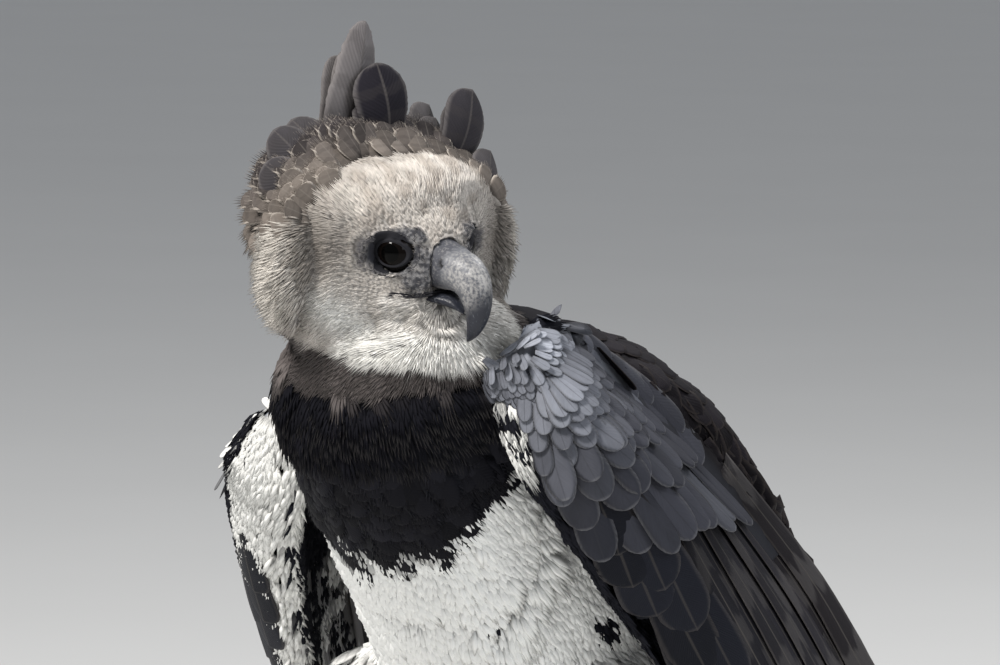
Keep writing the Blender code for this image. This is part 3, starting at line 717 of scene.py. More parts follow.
def down_finish(name, rough=0.85, sheen=0.0, streak=0.20, tip_colour=(0.30, 0.28, 0.27)):
    """Soft hair-like feathers: fine streaks, a foot darkened as painted shade, and a tip as pale as its
    mark says.
    """
    paint = Paint(name, Roughness=rough, Sheen_Weight=sheen, Sheen_Roughness=0.5, Specular_IOR_Level=0.05)
    across, along, blade = paint.parts(paint.stored("vane", "Vector"))
    tip_share, _, _ = paint.parts(paint.stored("marks", "Vector"))
    _, _, chance = paint.parts(paint.stored("root", "Vector"))
    hairs = paint.vector(blade * 9.0 + chance * 51.0 + across * 6.0, along * 1.1, chance * 17.0)
    speck = paint.noise(hairs, 1.0, 3.0)
    light = (1.0 - streak) + speck * (streak * 1.6) + chance * (streak * 0.45)
    # painted shade: each tuft darkens towards its foot, where it lies under the tufts before it
    foot = 0.84 + along.rise(0.0, 0.7) * 0.20
    colour = paint.tinted(paint.stored("tone", "Color"), light * foot)
    tip = along.rise(0.72, 1.0) * tip_share
    return paint.finish(paint.blend(tip, colour, tip_colour))


def skin_finish(name):
    paint = Paint(name, Roughness=0.7, Specular_IOR_Level=0.12)
    place = paint.place()
    scaled = paint.stored("scaled")
    grain = paint.noise(place, 900.0, 3.0)
    mottle = paint.noise(place, 120.0, 3.0)
    cells = paint.node("ShaderNodeTexVoronoi", {"feature": "DISTANCE_TO_EDGE"},
                       {"Vector": place, "Scale": 330.0})
    groove = (1.0 - cells.rise(0.0, 0.16)) * scaled
    colour = paint.tinted(paint.stored("tone", "Color"), 0.78 + mottle * 0.42)
    colour = paint.blend(groove * 0.55, colour, (0.16, 0.085, 0.02))
    height = (1.0 - groove) * 0.9 + grain * 0.25
    rough = 0.78 - scaled * 0.28
    return paint.finish(colour, rough, height, 0.0006, 0.7)


def horn_finish(name):
    """The bill: dark horn, paler and flaky at its base, with scratches along it and a matt cere."""
    paint = Paint(name, Roughness=0.35, Specular_IOR_Level=0.3)
    place = paint.place()
    along, low, _ = paint.parts(paint.stored("bill", "Vector"))
    pit = paint.stored("pit")
    flakes = paint.noise(place, 620.0, 6.0)
    broad = paint.noise(place, 75.0, 2.0)
    drawn = paint.node("ShaderNodeVectorMath", {"operation": "MULTIPLY"}, {0: place, 1: (1.0, 1.0, 0.22)})
    scratch = paint.noise(drawn, 900.0, 2.0)
    base = paint.blend(along.rise(0.34, 0.66), (0.120, 0.124, 0.138), (0.016, 0.018, 0.026))
    worn = along.rise(0.22, 0.30) * (1.0 - along.rise(0.46, 0.66)) * (1.0 - low.rise(0.62, 0.98))
    flaky = (flakes * 0.65 + broad * 0.35).rise(0.40, 0.62) * worn
    colour = paint.blend(flaky * 0.72, base, (0.36, 0.35, 0.335))
    scraped = scratch.rise(0.60, 0.72) * along.rise(0.3, 0.5) * 0.35
    colour = paint.blend(scraped, colour, (0.16, 0.17, 0.19))
    colour = paint.tinted(colour, 0.70 + broad * 0.6)
    cere = 1.0 - (along + flakes * 0.03).rise(0.225, 0.275)
    speckle = flakes.rise(0.50, 0.64) * 0.5
    skin_tone_here = paint.blend(speckle, (0.050, 0.052, 0.062), (0.19, 0.185, 0.185))
    colour = paint.blend(cere, colour, paint.tinted(skin_tone_here, 0.6 + broad * 0.8))
    lip = low.rise(0.86, 0.98) * along.rise(0.10, 0.16) * (1.0 - along.rise(0.30, 0.42))
    colour = paint.blend(lip * 0.45, colour, (0.26, 0.25, 0.24))
    # painted shade: the nostril's pit is painted near black, for the shadow inside the hole
    colour = paint.blend(pit, colour, (0.006, 0.006, 0.007))
    rough = 0.28 + flakes * 0.22 + cere * 0.22
    return paint.finish(colour, rough, flakes + scratch * 0.4, 0.0005, 0.5)


def eye_finish(name):
    paint = Paint(name, Roughness=0.04, Specular_IOR_Level=0.07)
    turn = paint.stored("polar")
    fleck = paint.noise(paint.place(), 800.0, 3.0)
    iris = paint.blend(fleck, (0.0040, 0.0028, 0.0024), (0.0022, 0.0016, 0.0014))
    colour = paint.blend(turn.rise(0.40, 0.44), (0.0005, 0.0005, 0.0005), iris)
    colour = paint.blend(turn.rise(0.80, 0.90), colour, (0.010, 0.009, 0.009))
    return paint.finish(colour)


def claw_finish(name):
    paint = Paint(name, Roughness=0.30, Specular_IOR_Level=0.5)
    place = paint.place()
    streak = paint.noise(place, 300.0, 3.0)
    colour = paint.blend(streak, (0.008, 0.008, 0.009), (0.050, 0.046, 0.044))
    return paint.finish(colour, 0.22 + streak * 0.25, streak, 0.0003, 0.4)


def scute_finish(name):
    paint = Paint(name, Roughness=0.45, Specular_IOR_Level=0.45)
    _, _, chance = paint.parts(paint.stored("root", "Vector"))
    grain = paint.noise(paint.place(), 500.0, 3.0)
    colour = paint.blend(grain, (0.66, 0.46, 0.12), (0.50, 0.33, 0.08))
    colour = paint.tinted(colour, 0.75 + chance * 0.35)
    return paint.finish(colour, None, grain, 0.0004, 0.5)


def plain_finish(name, colour, rough):
    paint = Paint(name, Roughness=rough, Specular_IOR_Level=0.2)
    grain = paint.noise(paint.place(), 3.0, 2.0)
    return paint.finish(paint.blend(grain, colour, tuple(c * 0.96 for c in colour)))


FINISHES = {}


def finish_named(name, maker, *values):
    """The material called name_finish, made when it is first asked for."""
    if name not in FINISHES:
        FINISHES[name] = maker(name + "_finish", *values)
    return FINISHES[name]


# Markings: the colour of the plumage at any place on the body, which skin and coat share

BIB_EDGE = ((-0.090, -0.050, -0.035, -0.017, 0.000, 0.013, 0.028, 0.046, 0.055, 0.065, 0.090),
            (0.600, 0.552, 0.536, 0.532, 0.5315, 0.532, 0.5415, 0.560, 0.576, 0.583, 0.610))
BELLY_SPOTS = ((0.039, -0.134, 0.487), (0.072, -0.077, 0.483), (-0.058, -0.100, 0.468),
               (0.088, -0.020, 0.440))


def chin_edges(points):
    """How high each point stands over the chin's lower edge, and over the throat's, in millimetres."""
    _, s, h = in_head(points).T * 1000
    ragged = (value_noise(points, 0.008, 23) - 0.5) * 5
    wide = np.abs(s)
    return h + 44 - 11 * step(38, 66, wide) + ragged, h + 53 + 9 * step(15, 48, wide) + ragged


def bib_low(points):
    """How far the black bib has ended at each point: 0 inside it, 1 on the white belly."""
    x, _, z = (points - BIRD_SHIFT).T
    ragged = (value_noise(points, 0.016, 3) - 0.5) * 0.030 + (value_noise(points, 0.006, 4) - 0.5) * 0.012
    edge = np.interp(x, BIB_EDGE[0], BIB_EDGE[1])
    return step(-0.005, 0.005, edge - z + ragged)


def trunk_tone(points):
    share, _, back = trunk_place(points)
    near = LINE[np.clip((share * (len(LINE) - 1)).astype(int), 0, len(LINE) - 1)]
    behind = dot(unit(points - near), back)
    white = bib_low(points)
    tone = mix(chosen("bib_black"), chosen("belly_white"), white)
    z = points[:, 2]
    tone = mix(tone, NECK_GREY, step(0.640, 0.672, z) * (1 - step(0.25, 0.6, behind)))
    for spot in BELLY_SPOTS:
        away = np.linalg.norm(points - BIRD_SHIFT - arr(*spot), axis=1)
        tone = mix(tone, BLACK, step(0.0085, 0.0065, away))
    _, throat = chin_edges(points)
    tone = mix(tone, chosen("throat_grey"), step(-2, 3, throat) * (1 - step(0.25, 0.6, behind)))
    behind = behind + (value_noise(points, 0.02, 5) - 0.5) * 0.3
    return mix(tone, chosen("back_brown"), step(-0.05, 0.25, behind))


def head_tone(points):
    f, s, h = in_head(points).T * 1000
    wide = np.abs(s)
    tone = np.tile(chosen("ash"), (len(points), 1))
    lump = value_noise(points, 0.009, 11)
    fine = value_noise(points, 0.004, 12)
    tone = mix(tone, ASH_PALE, step(0.35, 0.75, lump) * 0.55)
    tone = mix(tone, ASH_PALE, step(14, 30, h) * step(8, 26, f) * 0.9)
    blotch = step(0.48, 0.75, value_noise(points, 0.0065, 16)) * step(16, 26, h)
    tone = mix(tone, (0.37, 0.325, 0.285), blotch * 0.55)
    band = np.exp(-((h + 35 - 0.62 * np.maximum(wide - 24, 0)) / 9.0) ** 2)
    band = band * step(72, 60, wide) * step(-6, 4, f)
    tone = mix(tone, (0.74, 0.73, 0.70), np.maximum(band, step(-24, -32, h) * step(12, 24, f)))
    # under the bill the chin is paler: partly the chin's own pale colour, partly painted light that lifts
    # the bill's shadow there
    tone = mix(tone, (0.70, 0.68, 0.65), step(-9, -14, h) * step(-34, -26, h) * step(28, 34, f) * 0.7)
    behind_eye = np.exp(-(((f - 14) / 11) ** 2 + ((wide - 52) / 16) ** 2 + ((h - 12) / 15) ** 2))
    tone = mix(tone, ASH_DARK, behind_eye * 0.75)
    rim = step(68, 76, wide) * step(-16, -4, f)
    tone = mix(tone, (0.56, 0.53, 0.485), rim * 0.8)
    # painted shade: the groove between the face and the ruff is darkened where shadow falls between them,
    # over the groove sunk in the skin
    groove = np.exp(-((wide - 64) / 5.5) ** 2) * step(-14, -2, f) * step(46, 30, h)
    tone = mix(tone, ASH_DARK, groove * 0.75)
    side_wash = step(34, 60, wide) * step(-12, 16, h)
    tone = mix(tone, ASH_DARK, side_wash * 0.50 * (1 - rim))
    crown = step(38, 48, h + (fine - 0.5) * 6) * step(8, -4, f)
    tone = mix(tone, CROWN_BEIGE, crown)
    nape = step(0, -18, f)
    tone = mix(tone, (0.120, 0.108, 0.100), nape)
    chin, _ = chin_edges(points)
    tone = mix(tone, chosen("throat_grey"), step(3, -3, chin))
    return tone * (0.86 + 0.28 * fine)[:, None]


def lore_share(points):
    """How bare and dark the skin is, around the eye and between it and the bill."""
    f, s, h = in_head(points).T * 1000
    s = np.abs(s)
    eye = np.sqrt(((f - 33) / 15.5) ** 2 + ((s - 29) / 13.0) ** 2 + ((h - 11) / 10.5) ** 2)
    lore = np.sqrt(((f - 43) / 11.0) ** 2 + ((s - 17) / 11.0) ** 2 + ((h - 3.5) / 13.5) ** 2)
    gape = np.sqrt(((f - 37) / 12.0) ** 2 + ((s - 16) / 6.0) ** 2 + ((h + 10.0) / 3.5) ** 2)
    brow = np.sqrt(((f - 38) / 11.0) ** 2 + ((s - 21) / 11.0) ** 2 + ((h - 20) / 4.5) ** 2)
    near = np.minimum(np.minimum(eye, lore), np.minimum(gape, brow))
    return step(1.15, 0.80, near + (value_noise(points, 0.003, 21) - 0.5) * 0.25)


def thigh_tone(points):
    z = points[:, 2]
    tone = np.tile(WHITE, (len(points), 1))
    bars = np.sin(z / 0.0042 + (value_noise(points, 0.02, 31) - 0.5) * 9)
    broken = step(0.45, 0.65, value_noise(points, 0.008, 32))
    return mix(tone, (0.055, 0.052, 0.055), step(0.35, 0.8, bars) * broken * 0.9)


def wing_tone(points, side_sign):
    """The wing's arm: slate outside, white with black at its front edge and inside."""
    local = points - BIRD_SHIFT
    if side_sign < 0:
        local = (local - RIGHT_WING_SHIFT) * arr(-1, 1, 1)
    grey = step(0.45, 0.66, local[:, 2] + (value_noise(points, 0.02, 41) - 0.5) * 0.05)
    p, q, face = wing_spots(points, side_sign)
    tone = mix((0.022, 0.023, 0.029), chosen("slate_pale"), grey * step(0.26, 0.12, p))
    if side_sign < 0:
        tone = mix(tone, WHITE, step(0.32, 0.24, q) * step(0.26, 0.18, p) * (face > 0))
    return mix(tone, chosen("back_brown"), np.maximum(step(0.90, 0.96, q), (face < 0) & (p > 0.05)))


# The skin

def flesh_nodes():
    names = ["face", "hood", "neck", "breast", "belly", "rump"]
    for label, _ in SIDES:
        names += ["thigh_" + label, "shank_" + label, "scapulars_" + label, "wing_%s_coverts" % label]
        names += ["toe_%s_%s" % (label, toe) for toe in ("inner", "middle", "outer", "hind")]
    return names


# How far the flesh nodes are grown to meet, and how deep the coat is over each
MERGE = 0.00035
COAT_DEPTH = {"face": 0.0030, "hood": 0.0045, "neck": 0.0060, "breast": 0.0070, "belly": 0.0080,
              "rump": 0.0075, "thigh": 0.0065, "shank": 0.0004, "toe": 0.0004, "scapulars": 0.0060,
              "wing": 0.0050}


def joined_flesh(names):
    """Copies of the flesh nodes in one mesh, grown a hair so that they meet, and each face's node."""
    whole, owners = bmesh.new(), []
    for index, name in enumerate(names):
        part = bmesh.new()
        part.from_mesh(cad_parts[name].data)
        bmesh.ops.remove_doubles(part, verts=part.verts, dist=0.00002)
        part.normal_update()
        for vert in part.verts:
            vert.co += vert.normal * MERGE
        copy = bpy.data.meshes.new("part")
        part.to_mesh(copy)
        part.free()
        whole.from_mesh(copy)
        bpy.data.meshes.remove(copy)
        owners += [index] * (len(whole.faces) - len(owners))
    whole.faces.ensure_lookup_table()
    tree = BVHTree.FromBMesh(whole)
    mesh = bpy.data.meshes.new("flesh")
    whole.to_mesh(mesh)
    whole.free()
    return mesh, tree, owners


def neighbour_sums(mesh):
    pairs = np.empty(len(mesh.edges) * 2, np.int64)
    mesh.edges.foreach_get("vertices", pairs)
    pairs = pairs.reshape(-1, 2)
    start = np.concatenate([pairs[:, 0], pairs[:, 1]])
    end = np.concatenate([pairs[:, 1], pairs[:, 0]])
    return start, end, np.maximum(np.bincount(start, minlength=len(mesh.vertices)), 1)


def smoothed(values, links, rounds, share=0.5, back=0.0):
    """Evens values over neighbouring points; a share back keeps the volume."""
    start, end, count = links
    flat = values if values.ndim > 1 else values[:, None]
    for _ in range(rounds):
        for amount in ((share, -back) if back else (share,)):
            mean = np.column_stack([np.bincount(start, flat[end, n], minlength=len(flat))
                                    for n in range(flat.shape[1])])
            flat = flat + amount * (mean / count[:, None] - flat)
    return flat if values.ndim > 1 else flat[:, 0]


def remeshed(mesh, voxel):
    holder = new_object("remeshed", mesh)
    live = holder.modifiers.new("join", "REMESH")
    live.mode, live.voxel_size, live.use_smooth_shade = "VOXEL", voxel, True
    bpy.context.view_layer.update()
    result = bpy.data.meshes.new_from_object(holder.evaluated_get(bpy.context.evaluated_depsgraph_get()))
    bpy.data.objects.remove(holder)
    return result


def write_points(mesh, points):
    mesh.vertices.foreach_set("co", points.astype(np.float32).ravel())
    mesh.update()


def eye_axes(side_sign):
    """The eye's middle, its line of sight, the way towards the bill, and the way up, in the frame."""
    centre = on_head(EYE_CENTRE * arr(1, side_sign, 1))
    look = (EYE_LOOK * arr(1, side_sign, 1)) @ HEAD_TURN
    ahead = unit(np.cross(RISE, look)) * -side_sign
    ahead = ahead * np.sign(dot(ahead, FORWARD))
    return centre, look, ahead, unit(np.cross(look, ahead)) * np.sign(dot(np.cross(look, ahead), RISE))


def finer_face(mesh):
    """Splits the skin's faces near the eyes and the bill, where it has its folds."""
    shape = bmesh.new()
    shape.from_mesh(mesh)
    for reach in (0.030, 0.024):
        centres = [Vector(on_head((0.036, s * 0.022, 0.006))) for s in (1, -1)]
        near = [f for f in shape.faces if min((f.calc_center_median() - c).length for c in centres) < reach]
        edges = list({e for f in near for e in f.edges})
        bmesh.ops.subdivide_edges(shape, edges=edges, cuts=1, use_grid_fill=True, smooth=0.0)
    shape.to_mesh(mesh)
    shape.free()


def face_relief(points):
    """How far the bare face stands out from the plain head at each point: brow, lores and cheek folds."""
    f, s, h = in_head(points).T * 1000
    s = np.abs(s)
    brow = np.exp(-(((h - 19.5 - (f - 34) * 0.15) / 4.0) ** 2 + ((f - 33) / 11.0) ** 2
                    + ((s - 27) / 11.0) ** 2))
    hollow = np.exp(-(((f - 42) / 6.0) ** 2 + ((s - 20) / 7.0) ** 2 + ((h - 5) / 7.0) ** 2))
    fold = np.exp(-(((f - 40) / 9.0) ** 2 + ((s - 20) / 9.0) ** 2 + ((h - 2) / 11.0) ** 2))
    fold = np.sin((h + 3 + 0.25 * f) * 1.5) * fold
    forehead = np.exp(-((f - 22) ** 2 / 260 + (s - 16) ** 2 / 240 + (h - 42) ** 2 / 120))
    lumps = (value_noise(points, 0.0085, 13) - 0.5) * step(12, 26, h) * step(52, 34, s) * step(0, 10, f)
    groove = np.exp(-((s - 64 - (value_noise(points, 0.02, 14) - 0.5) * 6) / 4.5) ** 2)
    groove = groove * step(-14, -4, f) * step(48, 30, h)
    cheek = (value_noise(points, 0.016, 15) - 0.5) * step(24, 34, s)
    relief = brow * 3.4 - hollow * 1.6 + fold * 0.35 + forehead * 2.0 + lumps * 2.2 - groove * 2.6
    return (relief + cheek * 1.4) * 0.001


def filled_chin(points):
    """Brings the hollow under the bill forward, flush with the chin about it."""
    f, s, h = in_head(points).T * 1000
    goal = 42.0 + np.maximum(-10 - h, 0) * 0.36 - (s / 13) ** 2 * 5
    share = step(15, 11, np.abs(s)) * step(-32, -28, h) * step(-8, -11, h) * step(20, 25, f)
    return points + FORWARD * (np.maximum(goal - f, 0) * share * 0.001)[:, None]


# Each ring of a lid: how far out from its rim, how many eye radii high, and its share of the skin's shape
LID_RINGS = ((-0.0012, 0.985, 0.0), (0.0, 1.022, 0.0), (0.0004, 1.060, 0.0), (0.0010, 1.065, 0.05),
             (0.0016, 1.045, 0.15), (0.0024, 1.075, 0.30), (0.0033, 1.05, 0.55), (0.0043, 1.0, 0.85),
             (0.0054, 1.0, 1.0), (0.0066, 1.0, 1.0))


def lid_patch(side_sign, tree):
    """The lids of one eye: rings from the eye's ball out over the socket and under the skin about it."""
    centre, look, ahead, rise = eye_axes(side_sign)
    turn = np.linspace(0, 2 * math.pi, 48, endpoint=False)
    c, s = np.cos(turn), np.sin(turn)
    wide = np.where(c > 0, 0.00915, 0.0090)
    tall = np.where(s > 0, 0.0062, 0.0070)
    rim = 1.0 / np.sqrt((c / wide) ** 2 + (s / tall) ** 2)
    rings = []
    for n, (reach, lift, flat) in enumerate(LID_RINGS):
        lateral = rim + reach
        ball = EYE_RADIUS * lift
        high = np.sqrt(np.maximum(ball ** 2 - np.minimum(lateral, ball * 0.97) ** 2, 0))
        ways = ahead * c[:, None] + rise * s[:, None]
        ring = []
        for k in range(len(turn)):
            spot = centre + ways[k] * lateral[k]
            hit = tree.ray_cast(Vector(spot + look * 0.05), Vector(-look), 0.1)[0]
            surface = dot(np.array(hit) - centre, look) if hit else high[k]
            sink = 0.0014 if n == len(LID_RINGS) - 1 else -0.0001
            ring.append(spot + look * (high[k] * (1 - flat) + (surface - sink) * flat))
        rings.append(ring)
    return np.array(rings)


def mouth_line(tree, side_sign):
    """Places along the mouth's line on the skin, from under the eye to the bill."""
    places = []
    for t in np.linspace(0, 1, 14):
        f, h = 0.0325 + 0.0185 * t, -0.0108 + 0.0026 * t - 0.0012 * math.sin(math.pi * t)
        start = on_head((f, side_sign * 0.1, h))
        hit = tree.ray_cast(Vector(start), Vector(-SIDE * side_sign), 0.12)[0]
        places.append(np.array(hit) if hit else on_head((f, side_sign * 0.013, h)))
    return np.array(places)


def tube_rings(line, radii, out, count=8):
    way = unit(np.gradient(line, axis=0))
    across = unit(np.cross(way, out))
    lift = np.cross(across, way)
    turn = np.linspace(0, 2 * math.pi, count, endpoint=False)
    ways = across[:, None] * np.cos(turn)[None, :, None] + lift[:, None] * np.sin(turn)[None, :, None]
    return line[:, None] + ways * np.asarray(radii)[:, None, None]


SKIN = {}


def make_skin():
    names = flesh_nodes()
    flesh, tree, owners = joined_flesh(names)
    mesh = remeshed(flesh, panel_values().voxel)
    finer_face(mesh)
    links = neighbour_sums(mesh)
    points = smoothed(points_of(mesh), links, 3, 0.5, 0.52)
    write_points(mesh, points)
    ways = normals_of(mesh)
    owner = np.array([owners[tree.find_nearest(Vector(p))[2]] for p in points])
    depth = np.array([COAT_DEPTH[names[n].split("_")[0]] for n in range(len(names))])[owner]
    bare = lore_share(points)
    depth = smoothed(depth, links, 6) * (1 - bare) + 0.0002 * bare
    surface = BVHTree.FromPolygons(points.tolist(), [tuple(p.vertices) for p in mesh.polygons])
    room = np.full(len(points), 1.0)
    for n, (p, w) in enumerate(zip(points, ways)):
        far = surface.ray_cast(Vector(p - w * 0.0004), Vector(-w), 0.03)[3]
        if far is not None:
            room[n] = far
    depth = np.minimum(depth + MERGE, 0.36 * room)
    depth = smoothed(depth, links, 3)
    points = filled_chin(points - ways * depth[:, None] + ways * face_relief(points)[:, None])
    whole = BVHTree.FromPolygons(points.tolist(), [tuple(p.vertices) for p in mesh.polygons])
    patches = [lid_patch(sign, whole) for _, sign in SIDES]
    for _, sign in SIDES:
        centre, look, _, _ = eye_axes(sign)
        along = dot(points - centre, look)
        lateral = np.linalg.norm(points - centre - look * along[:, None], axis=1)
        low = 0.002 + 0.0085 * step(0.0070, 0.0125, lateral)
        sunk = (lateral < 0.0130) & (along > low) & (along < 0.03)
        share = 1 - step(0.0108, 0.0130, lateral[sunk])
        points[sunk] -= look * (along - low)[sunk, None] * share[:, None]
    write_points(mesh, points)
    whole_mesh = bmesh.new()
    whole_mesh.from_mesh(mesh)
    count = len(points)
    for n, (_, sign) in enumerate(SIDES):
        line = mouth_line(whole, sign)
        side_way = SIDE * sign
        lips = []
        for drop, radius in ((0.0006, 0.00072), (-0.0007, 0.00068)):
            taper = 0.35 + 0.65 * np.sin(math.pi * np.clip(np.linspace(0.06, 0.90, len(line)), 0, 1)) ** 0.6
            lips.append(tube_rings(line + RISE * drop, radius * taper, side_way))
        for k, rings in enumerate([patches[n]] + lips):
            piece = open_loft("piece", rings) if k == 0 else loft("piece", rings)
            whole_mesh.from_mesh(piece)
            bpy.data.meshes.remove(piece)
    whole_mesh.to_mesh(mesh)
    whole_mesh.free()
    mesh.name = "skin"
    mesh.shade_smooth()
    owner = np.concatenate([owner, np.full(len(mesh.vertices) - count, names.index("face"))])
    points = points_of(mesh)
    extra = np.arange(len(points)) >= count
    node = np.array([n.split("_")[0] for n in names])[owner]
    side = np.array([1 if "left" in n else (-1 if "right" in n else 0) for n in names])[owner]
    tone = skin_tone(points, node, side)
    tone[extra] = np.array(LORE_GREY) * 0.5
    write_values(mesh, "tone", colours(tone))
    scaled = np.isin(node, ("shank", "toe")).astype(float)
    write_values(mesh, "scaled", np.where(extra, 0.0, scaled))
    mesh.materials.clear()
    mesh.materials.append(finish_named("skin", skin_finish))
    SKIN.update(item=new_object("skin", mesh), node=node, side=side, extra=extra, points=points,
                bare=np.where(extra, 1.0, np.concatenate([bare, np.ones(extra.sum())])))
    bpy.data.meshes.remove(flesh)
    return SKIN["item"], names


def open_loft(name, rings):
    """A lids' patch: open at its inner and outer rims, which lie inside the eye and under the skin."""
    rows, cols = rings.shape[:2]
    mesh = new_mesh(name, rings.reshape(-1, 3), loft_faces(rows, cols, caps=False))
    shape = bmesh.new()
    shape.from_mesh(mesh)
    middle = Vector(rings[-1].mean(axis=0))
    head = Vector(HEAD_CENTRE)
    shape.normal_update()
    if sum((f.normal.dot(middle - head) for f in shape.faces)) < 0:
        bmesh.ops.reverse_faces(shape, faces=shape.faces)
    shape.to_mesh(mesh)
    shape.free()
    return mesh


def tone_at(points, node, side):
    """The plumage's colour at points that lie on the given nodes."""
    tone = trunk_tone(points)
    for part, maker in (("face", head_tone), ("hood", head_tone), ("thigh", thigh_tone)):
        here = node == part
        if here.any():
            tone[here] = maker(points[here])
    for sign in (1, -1):
        here = (node == "wing") & (side == sign)
        if here.any():
            tone[here] = wing_tone(points[here], sign)
    tone[node == "scapulars"] = chosen("back_brown")
    tone[node == "rump"] = WHITE
    high = (node == "rump") & (trunk_side(points) > 0.1)
    tone[high] = chosen("back_brown")
    return tone


def trunk_side(points):
    share, _, back = trunk_place(points)
    near = LINE[np.clip((share * (len(LINE) - 1)).round().astype(int), 0, len(LINE) - 1)]
    return dot(unit(points - near), back)


def lore_tone(points):
    """The bare skin's colour: darkest round the eye, paler and speckled towards the bill."""
    f, s, h = in_head(points).T * 1000
    eye = np.sqrt(((f - 31) / 12.5) ** 2 + ((np.abs(s) - 27) / 12.0) ** 2 + ((h - 11) / 10.0) ** 2)
    speck = step(0.42, 0.68, value_noise(points, 0.0014, 17))
    away = step(0.85, 1.25, eye)
    return mix(mix(LORE_GREY, (0.050, 0.050, 0.056), away), (0.23, 0.225, 0.225), speck * away * 0.8)


def skin_tone(points, node, side):
    # the skin under the plumage takes the plumage's colour a quarter darker, as painted shade beneath the
    # coat
    tone = tone_at(points, node, side) * 0.75
    on_face = np.isin(node, ("face", "hood"))
    bare = lore_share(points) * on_face
    tone = mix(tone, lore_tone(points), bare)
    tone[np.isin(node, ("shank", "toe"))] = chosen("leg_yellow")
    return tone


# The plumage over the skin

# The space between the roots of each piece's feathers
SPACING = {"crown": 0.0050, "ruff": 0.0027, "nape": 0.0060, "neck": 0.0042, "bib": 0.0072, "belly": 0.0058,
           "back": 0.0130, "vent": 0.0085, "thighs": 0.0080, "bend": 0.0031, "scapulars": 0.0105,
           "bristles": 0.0015}


def lie_on_head(points):
    """Away from the bill over the face, and back and down behind."""
    place = in_head(points)
    root = arr(0.058, 0.0, -0.004)
    way = place - root
    f, s, h = place.T * 1000
    way = way + arr(-1, 0, 0) * (0.030 * step(8, -20, f))[:, None]
    way = way + arr(0, 0, -1) * (0.035 * step(4, -24, f) * step(30, 5, h))[:, None]
    way = way + arr(-0.55, 0, -1) * (0.085 * step(34, 76, np.abs(s)) * step(44, 14, h))[:, None]
    way = way + arr(0, 0, 1) * (0.030 * step(22, 40, h))[:, None]
    return way @ HEAD_TURN


def skin_part(node, side_sign=None):
    """Where the skin lies on a node, of one side if a side is given."""
    part = (SKIN["node"] == node) & ~SKIN["extra"]
    return part if side_sign is None else part & (SKIN["side"] == side_sign)


def on_skin(mask, spacing, seed):
    """Roots on the skin where the mask holds, and their outward ways."""
    return scatter(SKIN["item"], mask.astype(float), spacing, seed)


def bare_near(places):
    """How bare the skin is at each place."""
    return SKIN["bare"][[SKIN["tree"].find(place)[1] for place in places.tolist()]]


def index_skin():
    tree = KDTree(len(SKIN["points"]))
    for n, p in enumerate(SKIN["points"].tolist()):
        tree.insert(p, n)
    tree.balance()
    SKIN["tree"] = tree
    faces = [tuple(p.vertices) for p in SKIN["item"].data.polygons]
    SKIN["surface"] = BVHTree.FromPolygons(SKIN["points"].tolist(), faces)


def head_masks():
    f, s, h = in_head(SKIN["points"]).T * 1000
    wide = np.abs(s)
    head = np.isin(SKIN["node"], ("face", "hood")) & ~SKIN["extra"]
    lump = (value_noise(SKIN["points"], 0.007, 51) - 0.5) * 5
    chin, throat = chin_edges(SKIN["points"])
    neck = (SKIN["node"] == "neck") & ~SKIN["extra"]
    crown = head & (h + lump > 37 - 14 * step(50, 70, wide)) & (f > -46)
    crown &= f + lump < 4 + 8 * step(30, 48, wide)
    nape = head & (f < -12) & ~crown
    disc = head & (wide > 62) & ~nape & ~crown
    low = (head | neck) & (chin < 0) & (throat > 0) & (f >= -12) & ~crown & ~disc
    front = (head | (neck & (chin >= 0) & (f > -8))) & ~(crown | nape | disc | low)
    SKIN["throat"] = low | front
    face = front & (SKIN["bare"] < np.where(f < 26, 0.90, 0.62))
    return {"face": face, "crown": crown, "ruff": disc | low, "nape": nape}


